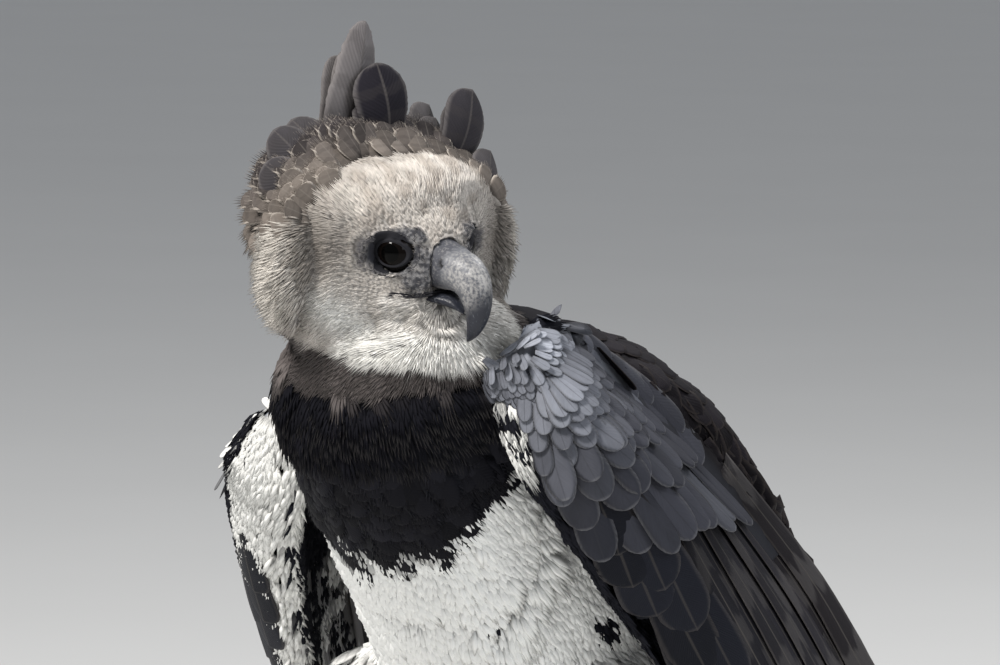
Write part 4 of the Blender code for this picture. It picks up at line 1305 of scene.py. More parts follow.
def make_head_plumage():
    masks = head_masks()
    draw = np.random.default_rng(71)
    made = []
    down = finish_named("down", down_finish)

    places, ways = on_skin(masks["face"], panel_values().face_spacing, 5)
    f, s, h = in_head(places).T * 1000
    away = np.sqrt((f - 40) ** 2 + (np.abs(s) - 22) ** 2 + (h - 6) ** 2)
    under_bill = step(28, 34, f) * step(-9, -14, h)
    lift = 0.13 + 0.05 * step(15, 55, away) + 0.20 * under_bill
    length = 0.0046 + 0.0060 * step(12, 46, away) + 0.0040 * under_bill
    tone = mix(head_tone(places), (0.15, 0.145, 0.15), step(0.03, 0.5, bare_near(places)))
    tuft = tuft_mesh("fine_tuft", 6, 0.30, 3, 0.050, 0.10)
    made.append(set_feathers("plumage_face", tuft, down, places, ways, lie_on_head(places), lift, length,
                             length * 0.50, tone, NO_MARKS, draw, sway=0.11))

    places, ways = on_skin(masks["crown"], SPACING["crown"], 6)
    f, s, h = in_head(places).T * 1000
    back = step(10, -12, f)
    top = step(24, 40, h)
    marks = np.column_stack([0.95 - 0.25 * back, np.full(len(f), 0.25), 0.15 + 0.15 * back])
    tone = mix((0.130, 0.112, 0.098), (0.034, 0.030, 0.032), step(6, -10, f) * 0.9 * top)
    tone = tone * draw.uniform(0.7, 1.3, (len(f), 1))
    scale = vane_mesh("crown_scale", 8, (-1, -0.66, -0.33, 0, 0.33, 0.66, 1), 0.5, 0.70, 0.10, 0.10, 0.01,
                      17, 5)
    vane = finish_named("crown_vane", vane_finish, 0.75, 0.0, (0.40, 0.36, 0.32), (0.20, 0.18, 0.16),
                        (0.02, 0.018, 0.018), 30.0)
    made.append(set_feathers("plumage_crown", scale, vane, places, ways, lie_on_head(places),
                             0.20 + (0.22 + 0.52 * back) * top, 0.0140 + 0.0105 * back,
                             0.0068 + 0.0026 * back, tone, marks, draw))

    places, ways = on_skin(masks["ruff"], SPACING["ruff"], 7)
    outer = step(60, 76, np.abs(in_head(places)[:, 1] * 1000))
    length = 0.0120 + 0.0040 * outer
    plume = tuft_mesh("ruff_plume", 8, 0.34, 4, 0.042, 0.12)
    made.append(set_feathers("plumage_ruff", plume, down, places, ways, lie_on_head(places),
                             0.20 + 0.10 * outer, length, length * 0.55, head_tone(places), (0.40, 0, 0),
                             draw))

    places, ways = on_skin(masks["nape"], SPACING["nape"], 8)
    leaf = vane_mesh("nape_leaf", 6, FIVE_ACROSS, 0.5, 0.6, 0.06, 0.10, 0.02, 9, 6)
    made.append(set_feathers("plumage_nape", leaf, vane, places, ways, lie_on_head(places), 0.15, 0.021,
                             0.0074, head_tone(places), (0.5, 0.4, 0.0), draw))
    return made


def make_body_plumage():
    draw = np.random.default_rng(72)
    node, points = SKIN["node"], SKIN["points"]
    keep = ~SKIN["extra"]
    made = []
    body = finish_named("body_vane", vane_finish, 0.62, 0.0, (0.040, 0.042, 0.050), (0.03, 0.03, 0.035),
                        (0.30, 0.30, 0.30), 40.0, 0.16, 0.45)
    white_down = finish_named("white_down", down_finish, 0.85, 0.0, 0.06)
    behind = trunk_side(points)

    places, ways = on_skin(keep & (node == "neck") & ~SKIN["throat"], SPACING["neck"], 11)
    share, way, _ = trunk_place(places)
    aside = np.abs(dot(ways, way)) < 0.72
    places, ways, way, share = places[aside], ways[aside], way[aside], share[aside]
    length = 0.0160 + 0.070 * np.clip(share, 0, 0.16)
    pale_tip = 0.22 * step(0.585, 0.645, places[:, 2])
    made.append(set_feathers("plumage_neck", tuft_mesh("soft_tuft", 8, 0.42, 9, 0.085, 0.06),
                             finish_named("down", down_finish), places, ways, way, 0.15, length,
                             length * 0.50, trunk_tone(places) * draw.uniform(0.8, 1.25, (len(places), 1)),
                             np.column_stack([pale_tip, pale_tip * 0, pale_tip * 0]), draw, sway=0.14))

    trunk = keep & np.isin(node, ("breast", "belly"))
    _, lie, _ = trunk_place(points)
    white = bib_low(points + lie * 0.021)
    places, ways = on_skin(trunk & (white < 0.5) & (behind < 0.35), SPACING["bib"], 12)
    tone = chosen("bib_black") * draw.uniform(0.7, 1.7, (len(places), 1))
    fringed = vane_mesh("neck_plume", 4, FIVE_ACROSS, 0.6, 0.5, 0.10, 0.12, 0.02, 11, 10)
    made.append(set_feathers("plumage_bib", fringed, body, places, ways, trunk_place(places)[1], 0.17,
                             0.0270, 0.0110, tone, (0.25, 0.0, 0.0), draw))

    places, ways = on_skin(trunk & (white >= 0.35) & (behind < 0.35), SPACING["belly"], 13)
    _, way, _ = trunk_place(places)
    broad = tuft_mesh("broad_tuft", 7, 0.40, 21, 0.150, 0.03)
    made.append(set_feathers("plumage_belly", broad, white_down, places, ways, way, 0.015, 0.031, 0.0150,
                             trunk_tone(places + way * 0.022), NO_MARKS, draw, sway=0.10))

    mantle = keep & np.isin(node, ("breast", "belly", "rump")) & (behind >= 0.30)
    made.append(skin_feathers("plumage_back", mantle, SPACING["back"], 14,
                              lambda places: trunk_place(places)[1],
                              lambda places: (np.full(len(places), 0.050), np.full(len(places), 0.0150)),
                              body, (0.30, 0.2, 0.0), least=0.75))

    places, ways = on_skin(keep & (node == "rump") & (behind < 0.30), SPACING["vent"], 15)
    made.append(set_feathers("plumage_vent", broad, white_down, places, ways, trunk_place(places)[1], 0.10,
                             0.036, 0.017, WHITE, NO_MARKS, draw))

    places, ways = on_skin(keep & (node == "thigh"), SPACING["thighs"], 16)
    barred = finish_named("barred", vane_finish, 0.8, 0.03, (0.60, 0.60, 0.58), (0.4, 0.4, 0.4),
                          (0.045, 0.040, 0.042), 60.0, 0.1, 0.15)
    plume = vane_mesh("body_plume", 6, FIVE_ACROSS, 0.6, 0.55, 0.02, 0.04, 0.006, 11, 9)
    bars = 0.25 + 0.75 * step(0.40, 0.70, value_noise(places, 0.018, 32))
    made.append(set_feathers("plumage_thighs", plume, barred, places, ways, arr(0, 0.12, -1), 0.11, 0.026,
                             0.0098, WHITE, np.column_stack([bars * 0, bars * 0, bars]), draw, sway=0.14))
    return made


# Wings: coverts in rows along the wing, then the long feathers

WING_REACH = 0.45          # metres of wing for one unit of p, over the coverts
ROW_SLANT = 0.115          # how much further along the wing a row's tips lie at the trailing edge
FIRST_ROW = 0.112
LAST_LESSER = 0.215
LESSERS_END = 0.28


def covert_rows():
    """The rows' tips along the wing, and how much of each row shows."""
    rows, p, exposed = [], FIRST_ROW, 0.0092
    while p < LAST_LESSER - 0.010:
        rows.append((p, exposed))
        exposed *= 1.125
        p += exposed / WING_REACH
    rows += [(LAST_LESSER, 0.020), (0.250, 0.022), (0.298, 0.026), (0.385, 0.034)]
    return rows


def wing_frame(p, q, face, side_sign):
    """The outward way and the way along the wing at places on it."""
    e = 0.004
    def at(p_there, q_there, side=face):
        return sided(wing_point(p_there, q_there, side), side_sign)

    here = at(p, q)
    on = at(np.minimum(p + e, 1), q) - at(np.maximum(p - e, 0), q)
    over = at(p, np.minimum(q + 0.02, 1)) - at(p, np.maximum(q - 0.02, 0))
    out = unit(np.cross(on, over))
    out = out * np.where(dot(out, here - at(p, q, -face))[:, None] < 0, -1.0, 1.0)
    return here, out, unit(on), unit(over)


def wing_spots(points, side_sign):
    """The p, q and face of the wing's place nearest to each point."""
    grid = np.meshgrid(np.linspace(0, 1, 121), np.linspace(0, 1, 41), (-1.0, 1.0))
    p, q, face = (values.ravel() for values in grid)
    tree = KDTree(len(p))
    for n, place in enumerate(sided(wing_point(p, q, face), side_sign).tolist()):
        tree.insert(place, n)
    tree.balance()
    near = np.array([tree.find(place)[1] for place in points.tolist()])
    return p[near], q[near], face[near]


BEND_END = 0.135
EDGE_PLUMES = 3600


def bend_roots(side_sign):
    """Roots of the small feathers over the wing's bend, with their outward ways, lie, p and q."""
    pick = skin_part("wing", side_sign)
    p, q, face = wing_spots(SKIN["points"][pick], side_sign)
    mask = np.zeros(len(pick), bool)
    shown = (p < BEND_END) & ((face > 0) | (p < 0.050)) & (q > (-1.0 if side_sign > 0 else 0.26))
    mask[np.flatnonzero(pick)[shown]] = True
    places, ways = on_skin(mask, SPACING["bend"], 19)
    p, q, _ = wing_spots(places, side_sign)
    start, end = (sided(wing_point(np.full(len(q), p_there), q), side_sign) for p_there in (0.10, 0.30))
    return places, ways, end - start, p, q


def make_coverts(side_sign, label):
    """The coverts in rows along the wing, and the small ones over its bend."""
    draw = np.random.default_rng(81)
    fine = []
    for p_tip, exposed in covert_rows():
        lesser = p_tip < LESSERS_END
        half = min(0.0022 + exposed * 0.34, 0.0110)
        length = max(exposed * 2.0 + 0.004, 0.015) if lesser else exposed * 1.85
        q = draw.uniform(0, 0.02) + 0.03
        while q < (0.955 if lesser else 0.90):
            tip = p_tip + ROW_SLANT * (q - 0.3) + draw.normal(0, 0.0022)
            chord = float(np.linalg.norm(curve_through(WING_TRAIL, tip) - curve_through(WING_FRONT, tip)))
            root = tip - length / WING_REACH
            fine.append((max(root, 0.004), min(q + 0.030, 0.965), length, half, max(tip, 0.004), q))
            q += half * 1.05 / max(chord, 0.02) * draw.uniform(0.9, 1.1)
    p, q, length, half, tip, q_tip = np.array(fine).T
    here, out, _, _ = wing_frame(p, q, np.ones(len(p)), side_sign)
    lie = sided(wing_point(np.clip(tip, 0, 1), q_tip, 1.0), side_sign) - here
    inner = sided(wing_point(p, q, -1.0), side_sign)
    sink = np.minimum(np.minimum(0.0042, 0.13 * length), 0.35 * np.linalg.norm(here - inner, axis=1))
    lift = np.arctan2(sink * 0.92, length) + 0.03
    places, ways, bend_lie, bend_p, bend_q = bend_roots(side_sign)
    raised = 0.0016 + (0.0034 if side_sign > 0 else 0.0) * step(0.07, 0.01, bend_p)
    here = np.vstack([here - out * sink[:, None], places + ways * raised[:, None]])
    out, lie = np.vstack([out, ways]), np.vstack([lie, bend_lie])
    lift = np.concatenate([lift, np.full(len(bend_p), 0.06)])
    length = np.concatenate([length, 0.0090 + 0.060 * bend_p])
    half = np.concatenate([half, 0.0026 + 0.022 * bend_p])
    p, q, q_tip = (np.concatenate(pair) for pair in ((p, bend_p), (q, bend_q), (q_tip, bend_q)))
    high = step(0.19, 0.00, p) ** 1.3 * (0.45 + 0.55 * step(0.0, 0.5, q))
    tone = mix(SLATE, chosen("slate_pale"), np.clip(high + draw.normal(0, 0.07, len(p)), 0, 1))
    tone = mix(tone, (0.022, 0.024, 0.032), step(0.26, 0.08, q) * step(0.12, 0.25, p) * 0.7)
    keep = (q_tip > 0.26) | (side_sign > 0)
    p, q, length, half, lift = (values[keep] for values in (p, q, length, half, lift))
    here, out, lie, tone = here[keep], out[keep], lie[keep], tone[keep]
    pale = (q < 0.05) & (p < 0.12) & (p > 0.05) & (draw.uniform(0, 1, len(p)) < 0.4) & (side_sign > 0)
    tone[pale] = np.array(WHITE) * draw.uniform(0.85, 1.08, (pale.sum(), 1))
    marks = np.column_stack([np.where(pale, 0.0, 0.40), np.where(pale, 0.0, 0.45), np.zeros(len(p))])
    if side_sign < 0:
        half = half * (0.55 + 0.45 * step(0.22, 0.55, q))
        pale_top = step(0.13, 0.08, p) * step(0.75, 0.45, q)
        # painted shade: the far wing's coverts take half the near wing's tone; the white at its front edge
        # is its own colour
        tone = mix(tone * 0.5, WHITE, pale_top)
    roots = np.column_stack([0.02 + 0.96 * q, 0.02 + 0.96 * p / 0.5])
    leaf = vane_mesh("covert_leaf", 10, (-1, -0.6, -0.2, 0.2, 0.6, 1), 0.60, 0.74, 0.03, 0.05, 0.012)
    vane = finish_named("covert_vane", vane_finish, 0.62, 0.0, (0.20, 0.20, 0.21), (0.035, 0.036, 0.042),
                        (0.16, 0.15, 0.14), 44.0, 0.12, 0.42)
    return set_feathers("coverts_" + label, leaf, vane, here, out, lie, lift, length, half, tone, marks,
                        draw, roots=roots, sway=0.05)


def make_wing_edge(side_sign, label):
    """Small soft feathers round the wing's front edge and over its inner side."""
    draw = np.random.default_rng(82)
    count = EDGE_PLUMES
    p = draw.uniform(0.045 if side_sign > 0 else 0.004, 0.62, count)
    inner = draw.uniform(0, 1, count) < (0.66 if side_sign > 0 else 0.50)
    q = np.where(inner, draw.uniform(0, 1, count) ** 1.3 * 0.84, draw.uniform(0, 0.28, count))
    face = np.where(inner, -1.0, 1.0)
    here, out, on = np.empty((3, count, 3))
    for way in (-1.0, 1.0):
        pick = face == way
        faces = np.full(pick.sum(), way)
        here[pick], out[pick], on[pick], _ = wing_frame(p[pick], q[pick], faces, side_sign)
    ragged = (value_noise(here, 0.018, 61) - 0.5) * 0.10 + (value_noise(here, 0.007, 62) - 0.5) * 0.06
    if side_sign < 0:
        white = np.where(inner, step(0.055, 0.035, q + ragged * 0.5), step(0.165, 0.150, q + ragged * 0.45))
    else:
        white = np.where(inner, step(0.10, 0.06, q + ragged), 1.0) * step(0.19, 0.15, p)
    patch = step(0.62, 0.68, value_noise(here, 0.020, 63)) * inner * 0.95
    white = np.maximum(white, patch * (q > 0.05))
    if side_sign > 0:
        white = white * step(0.42, 0.60, value_noise(here, 0.006, 64))
        kept = inner | ((q < 0.025) & (p < 0.20))
        here, out, on, white, inner, q, p = (v[kept] for v in (here, out, on, white, inner, q, p))
        count = len(p)
    tone = mix(BLACK, WHITE, white) * draw.uniform(0.85, 1.1, (count, 1))
    length = np.where(inner, 0.020, 0.016)
    roots = np.column_stack([0.02 + 0.46 * q + 0.5 * inner, 0.02 + 0.96 * p / 0.62])
    return set_feathers("edge_plumes_" + label, tuft_mesh("edge_plume", 6, 0.40, 12, 0.150, 0.04),
                        finish_named("white_down", down_finish, 0.85, 0.0, 0.06), here - out * 0.0022,
                        out, on, 0.05, length, length * 0.50, tone, NO_MARKS, draw, roots=roots, sway=0.14)


def sheet_faces(rows, cols):
    """Faces of a closed thin plate: a grid on top, the same grid below, and the rim between them."""
    back, faces = rows * cols, []
    for i in range(rows - 1):
        for j in range(cols - 1):
            a, b = i * cols + j, i * cols + j + 1
            c, d = b + cols, a + cols
            faces += [(a, b, c, d), (d + back, c + back, b + back, a + back)]
    rim = list(range(cols)) + [i * cols + cols - 1 for i in range(1, rows)]
    rim += [(rows - 1) * cols + j for j in range(cols - 2, -1, -1)]
    rim += [i * cols for i in range(rows - 2, 0, -1)]
    return faces + [(a, a + back, b + back, b) for a, b in zip(rim, rim[1:] + rim[:1])]


def long_feather(line, out, half, cols=9, thick=0.0007, cup=0.10, foot=0.30, widest=0.70,
                 frays=0.0, draw=None, skew=0.0, tilt=0.0):
    """One large vane along a line: its points, faces and vane places; half is its widest half width."""
    rows = len(line)
    t = 1 - (1 - np.linspace(0, 1, rows)) ** 1.7
    line, out = curve_through(line, t), unit(curve_through(out, t))
    way = unit(np.gradient(line, axis=0))
    side = unit(np.cross(way, out))
    up = unit(np.cross(side, way))
    k = np.linspace(-1, 1, cols)
    width = half * np.maximum(vane_outline(t, foot, widest), 0.06)
    x = width[:, None] * (k * np.where(k < 0, 1.0 + skew, 1.0 - skew))[None, :]
    ridge = 0.0004 * (1 - np.abs(k))[None, :]
    z = -cup * half * (k ** 2)[None, :] * (width / half)[:, None] + ridge + tilt * x
    if frays:
        notch = draw.normal(0, 1, (rows, 2)) * frays
        x[:, 0] *= 1 + notch[:, 0]
        x[:, -1] *= 1 + notch[:, 1]
    grid = line[:, None] + side[:, None] * x[..., None] + up[:, None] * z[..., None]
    level = thick * (1 - 0.55 * np.abs(k))[None, :, None] * np.ones((rows, 1, 1))
    top, low = grid + up[:, None] * level / 2, grid - up[:, None] * level / 2
    vane = np.dstack([np.tile(k, (rows, 1)), np.tile(t[:, None], (1, cols)), np.zeros((rows, cols))])
    points, vane = np.vstack([top.reshape(-1, 3), low.reshape(-1, 3)]), vane.reshape(-1, 3)
    return points, sheet_faces(rows, cols), np.vstack([vane, vane])


class Feathers:
    """Long feathers gathered for one piece, with the draws that make each one its own."""

    def __init__(self, seed):
        self.draw = np.random.default_rng(seed)
        self.shapes, self.tones, self.marks, self.chances = [], [], [], []

    def add(self, line, out, half, tone, marks, **options):
        """tone is a function, called once the shape has had its draws."""
        self.shapes.append(long_feather(line, out, half, draw=self.draw, **options))
        self.tones.append(tone())
        self.marks.append(marks)
        self.chances.append(self.draw.uniform())

    def joined(self, name, finish):
        """All of them as one piece; each has its own strip of the bake map."""
        points, faces, vanes, tones, marks, roots, strips = [], [], [], [], [], [], []
        columns = max(1, int(round(math.sqrt(len(self.shapes) / 5))))
        rows = math.ceil(len(self.shapes) / columns)
        base = 0
        for n, (places, sides, vane) in enumerate(self.shapes):
            count = len(places)
            points.append(places)
            faces += [tuple(i + base for i in side) for side in sides]
            vanes.append(vane)
            tones.append(np.broadcast_to(self.tones[n], (count, 3)))
            marks.append(np.tile(self.marks[n], (count, 1)))
            roots.append(np.tile((0.5, 0.5, self.chances[n]), (count, 1)))
            along = (n % columns + 0.04 + 0.92 * vane[:, 1]) / columns
            across = (n // columns + 0.08 + 0.84 * (vane[:, 0] + 1) / 2) / rows
            strips.append(np.column_stack([along, across]))
            base += count
        mesh = new_mesh(name, np.vstack(points), faces)
        outward(mesh)
        write_values(mesh, "vane", np.vstack(vanes))
        write_values(mesh, "tone", colours(np.vstack(tones)))
        write_values(mesh, "marks", np.vstack(marks))
        write_values(mesh, "root", np.vstack(roots))
        write_bake_map(mesh, np.vstack(strips))
        mesh.materials.append(finish)
        return new_object(name, mesh)


def flight_vane():
    return finish_named("flight_vane", vane_finish, 0.50, 0.0, (0.105, 0.095, 0.090), (0.075, 0.068, 0.062),
                        (0.075, 0.070, 0.070), 110.0, 0.22, 0.30)


SECONDARIES = 12
PRIMARY_FINGERS = 6
UNDER_COVERTS = 10
# Root p, tip q, reach along p and half width of the greater coverts and alula at the wrist
WRIST = ((0.265, 0.055, 0.105, 0.0150), (0.300, 0.045, 0.120, 0.0155), (0.345, 0.060, 0.125, 0.0160),
         (0.300, 0.125, 0.135, 0.0150), (0.350, 0.150, 0.150, 0.0155), (0.400, 0.100, 0.150, 0.0155),
         (0.425, 0.180, 0.150, 0.0140), (0.455, 0.060, 0.150, 0.0140))


def finger_end(q):
    return 1.0 - 0.075 * abs((q - 0.42) / 0.58) ** 2.2


def wing_line(p, q, face, height, side_sign):
    """A line held over the wing, with its outward ways."""
    _, out, _, _ = wing_frame(p, q, np.full(len(p), face), side_sign)
    return sided(wing_point(p, q, face, height), side_sign), out


def make_flight(side_sign, label):
    """The secondaries, the primaries in two layers, the coverts under them and those at the wrist."""
    feathers = Feathers(83)
    draw = feathers.draw
    t = np.linspace(0, 1, 22)
    for n in range(SECONDARIES):
        share = (n + 0.5) / SECONDARIES
        q0, q1 = min(share * 0.93 + 0.09, 0.985), share * 0.97 + 0.005
        p1 = 0.660 + 0.055 * share + draw.normal(0, 0.006)
        rise = -0.0034 + 0.0016 * (n % 2) + 0.0030 * t
        line, out = wing_line(0.355 + (p1 - 0.355) * t, q0 + (q1 - q0) * t, 1.0, rise, side_sign)
        feathers.add(line, out, 0.0108, lambda: (arr(0.013, 0.0135, 0.018) * draw.uniform(0.8, 1.35)
                                                 + arr(0.010, 0.007, 0.005) * share),
                     (0.45, 0.75, 0.30 + 0.45 * share), cup=0.10, foot=0.7, widest=0.86, frays=0.01,
                     skew=0.15 * side_sign, tilt=0.16 * side_sign)
    t = np.linspace(0, 1, 24)
    for n in range(PRIMARY_FINGERS):
        q1 = (n + 0.5) / PRIMARY_FINGERS
        for layer in range(2):
            p1 = finger_end(q1) - 0.055 * layer
            q_end = min(max(q1 + 0.075 * layer, 0.06), 0.96)
            q = (0.12 + 0.80 * q1) + (q_end - 0.12 - 0.80 * q1) * t
            rise = -0.0016 - 0.0012 * layer + 0.0008 * t
            line, out = wing_line(0.56 + (p1 - 0.56) * t, q, 1.0, rise, side_sign)
            feathers.add(line, out, 0.0112 - 0.001 * layer,
                         lambda: arr(0.013, 0.0130, 0.0165) * draw.uniform(0.8, 1.3), (0.35, 0.7, 0.45),
                         cup=0.12, foot=0.6, widest=0.72, frays=0.01, skew=0.2 * side_sign,
                         tilt=0.10 * side_sign)
    t = np.linspace(0, 1, 18)
    for n in range(UNDER_COVERTS):
        share = (n + 0.5) / UNDER_COVERTS
        p1 = 0.70 + 0.20 * share
        q = np.full(18, 0.06 + 0.88 * share)
        line, out = wing_line(0.40 + (p1 - 0.40) * t, q, -1.0, -0.0012, side_sign)
        feathers.add(line, out, 0.0125, lambda: arr(0.30, 0.30, 0.30) * draw.uniform(0.8, 1.2),
                     (0.1, 0.6, 0.9), cup=0.10, foot=0.6, widest=0.75, frays=0.02)
    t = np.linspace(0, 1, 14)
    for p0, q1, reach, half in WRIST:
        rise = -0.0020 + 0.0034 * t
        line, out = wing_line(p0 - 0.02 + reach * t, q1 + 0.05 * (1 - t), 1.0, rise, side_sign)
        feathers.add(line, out, half, lambda: arr(0.010, 0.0110, 0.016) * draw.uniform(0.8, 1.2),
                     (0.28, 0.35, 0.0), cup=0.16, foot=0.6, widest=0.76, frays=0.01)
    return feathers.joined("flight_" + label, flight_vane())


TERTIAL_SPAN = (0.20, 0.66)
TERTIAL_REACH = arr(-0.062, 0.026, -0.004)


def make_tertials(side_sign, label):
    """Broad feathers from the wing's trailing edge in over the back, in nine ranks."""
    feathers = Feathers(84)
    draw = feathers.draw
    t = np.linspace(0, 1, 20)
    for n in range(9):
        k = n / 8
        p0, p1 = 0.16 + 0.10 * (1 - k), 0.50 + 0.16 * (1 - k)
        p = p0 + (p1 - p0) * t
        under = wing_point(p, np.ones(20), -1.0)
        depth = unit(wing_point(p, np.ones(20), 1.0) - under)
        span = np.clip((p - TERTIAL_SPAN[0]) / (TERTIAL_SPAN[1] - TERTIAL_SPAN[0]), 0, 1)
        swell = 0.62 + 0.38 * np.sin(math.pi * np.minimum(1.0, 0.18 + 0.92 * span))
        sink = 0.0006 + 0.010 * math.sin(math.pi * k) * (1 - span)
        line = under + (TERTIAL_REACH * swell[:, None]) * (0.36 + 0.64 * k) - depth * sink[:, None]
        line = sided(line + arr(0, 0, 0.0012 * (n % 2)), side_sign)
        out = np.tile(unit(arr(0.25 * side_sign, 0.55, 0.8)), (20, 1))
        feathers.add(line, out, 0.0105, lambda: (chosen("back_brown") * draw.uniform(0.8, 1.5)
                                                 + arr(0.014, 0.009, 0.006) * (1 - k)),
                     (0.55, 0.6, 0.25), cup=0.14, foot=0.5, widest=0.78, frays=0.01)
    return feathers.joined("tertial_feathers_" + label, flight_vane())


def over_skin(start, lie, length, rows, low, high):
    """A feather's line from a root on the skin along lie, held over the skin, with its outward ways."""
    surface = SKIN["surface"]
    place, step_long = Vector(start), length / (rows - 1)
    way, line, outs = Vector(lie).normalized(), [], []
    normal = surface.find_nearest(place)[1]
    for n in range(rows):
        found, turned, _, away = surface.find_nearest(place)
        if away < 0.012 and turned.dot(normal) > 0.45:
            place, normal = found, normal.lerp(turned, 0.6).normalized()
        line.append(np.array(place + normal * (low + (high - low) * n / (rows - 1))))
        outs.append(np.array(normal))
        flat = (way - normal * way.dot(normal)).normalized()
        place = place + flat * step_long
    return np.array(line), np.array(outs)


def skin_feathers(name, mask, spacing, seed, lies, size, finish, mark, least=-1.0):
    """Long brown feathers that follow the skin where the mask holds; lies and size read the roots.

    A feather whose line keeps to its lie by less than least, as a cosine, is left out.
    """
    places, _ = on_skin(mask, spacing, seed)
    ways, (length, half) = lies(places), size(places)
    feathers = Feathers(seed)
    draw = feathers.draw
    for n, place in enumerate(places):
        turn = draw.normal(0, 0.05, 3)
        reach = length[n] * draw.uniform(0.92, 1.06)
        line, outs = over_skin(place, unit(ways[n]) + turn, reach, 12, 0.0008, 0.0052)
        if dot(unit(line[-1] - line[0]), unit(ways[n])) < least:
            continue
        feathers.add(line, outs, half[n] * draw.uniform(0.92, 1.08),
                     lambda: chosen("back_brown") * draw.uniform(0.7, 1.6), mark,
                     cols=7, cup=0.10, foot=0.55, widest=0.74, frays=0.008, thick=0.0006)
    return feathers.joined(name, finish)


def make_scapulars(side_sign, label):
    """Large smooth feathers over the shoulder pad and the wing's root, lying back along them."""
    mask = skin_part("scapulars", side_sign)
    wing = np.flatnonzero(skin_part("wing", side_sign))
    p, q, _ = wing_spots(SKIN["points"][wing], side_sign)
    mask[wing[(q > 0.965) & (p > 0.03) & (p < 0.34)]] = True
    vane = finish_named("scapular_vane", vane_finish, 0.60, 0.0, (0.060, 0.050, 0.045),
                        (0.035, 0.030, 0.027), (0.09, 0.075, 0.07), 60.0, 0.2, 0.4)

    def lies(places):
        return np.tile(arr(0.20 * side_sign, 0.52, -0.83), (len(places), 1))

    def size(places):
        start = (places[:, 1] - places[:, 1].min()) / np.ptp(places[:, 1])
        length = 0.036 + 0.018 * step(0.0, 0.35, start) - 0.018 * step(0.70, 1.0, start)
        return length, 0.0090 + 0.0025 * step(0.0, 0.4, start)

    return skin_feathers("scapular_feathers_" + label, mask, SPACING["scapulars"], 17, lies, size, vane,
                         (0.45, 0.20, 0.0))


# The tail's fan
TAIL_ROOT = (0.150, 0.312)
TAIL_LENGTH = 0.385
TAIL_SLOPE = math.radians(40.0)
TAIL_FEATHERS = 12
TAIL_ROWS = 34
TAIL_BANDS = (0.30, 0.56, 0.82)


def make_tail():
    feathers = Feathers(86)
    down = arr(0, math.cos(TAIL_SLOPE), -math.sin(TAIL_SLOPE))
    over = arr(0, math.sin(TAIL_SLOPE), math.cos(TAIL_SLOPE))
    t = np.linspace(0, 1, TAIL_ROWS)

    def banded():
        bands = np.zeros(TAIL_ROWS)
        for middle in TAIL_BANDS:
            ragged = feathers.draw.normal(0, 0.004, TAIL_ROWS)
            bands = np.maximum(bands, step(0.050, 0.034, np.abs(t - middle) + ragged))
        bands = np.repeat(bands, 9)
        return np.vstack([mix((0.014, 0.013, 0.015), (0.20, 0.19, 0.185), bands),
                          mix((0.025, 0.024, 0.026), (0.42, 0.41, 0.39), bands)])

    for n in range(TAIL_FEATHERS):
        k = -1 + 2 * (n + 0.5) / TAIL_FEATHERS
        s = (1.0 - 0.055 * abs(k) ** 2.4) * t
        half = 0.030 + 0.040 * s ** 0.75
        thick = (0.022 * (1 - s) ** 1.6 + 0.0032) * (1 - 0.55 * abs(k) ** 3)
        lift = 0.016 * (1 - abs(k) ** 1.8) - 0.004
        place = arr(0, *TAIL_ROOT) + BIRD_SHIFT + down * (TAIL_LENGTH * s)[:, None]
        place = place + arr(1, 0, 0) * (half * k)[:, None]
        top = place + over * (lift + thick * 0.30 - 0.0006 * abs(n - 5.5))[:, None]
        feathers.add(top, np.tile(over, (TAIL_ROWS, 1)), 0.0095, banded, (0.35, 0.4, 0.0), cup=0.10,
                     foot=0.85, widest=0.86, cols=9, frays=0.012)
    return feathers.joined("tail_feathers", flight_vane())


# The crest as the frame has it: each one's foot and tip in the head's frame, half width, and how pale
CREST_DARK = (0.018, 0.0165, 0.021)
CREST_PALE = (0.135, 0.125, 0.125)
CREST = [
    ("outer_right", (-0.012, -0.050, 0.030), (-0.021, -0.072, 0.051), 0.0135, 0.30),
    ("mid_right", (-0.018, -0.040, 0.040), (-0.029, -0.060, 0.067), 0.0135, 0.25),
    ("inner_right", (-0.024, -0.027, 0.046), (-0.037, -0.041, 0.070), 0.0135, 0.35),
    ("tall", (-0.034, -0.014, 0.048), (-0.042, 0.011, 0.119), 0.0160, 0.85),
    ("middle", (-0.022, 0.014, 0.050), (-0.028, 0.008, 0.099), 0.0190, -0.02),
    ("inner_left", (-0.030, 0.036, 0.044), (-0.038, 0.057, 0.072), 0.0135, 0.55),
    ("mid_left", (-0.023, 0.042, 0.042), (-0.031, 0.056, 0.066), 0.0135, 0.60),
    ("outer_left", (-0.016, 0.052, 0.038), (-0.022, 0.073, 0.082), 0.0165, 0.10),
    ("low_left", (-0.008, 0.062, 0.024), (-0.012, 0.080, 0.050), 0.0125, 0.35),
]


def crest_line(foot, tip, arch, rows):
    start, end = on_head(foot), on_head(tip)
    t = np.linspace(0, 1, rows)
    return start + (end - start) * t[:, None] + FORWARD * (arch * np.sin(math.pi * t))[:, None]


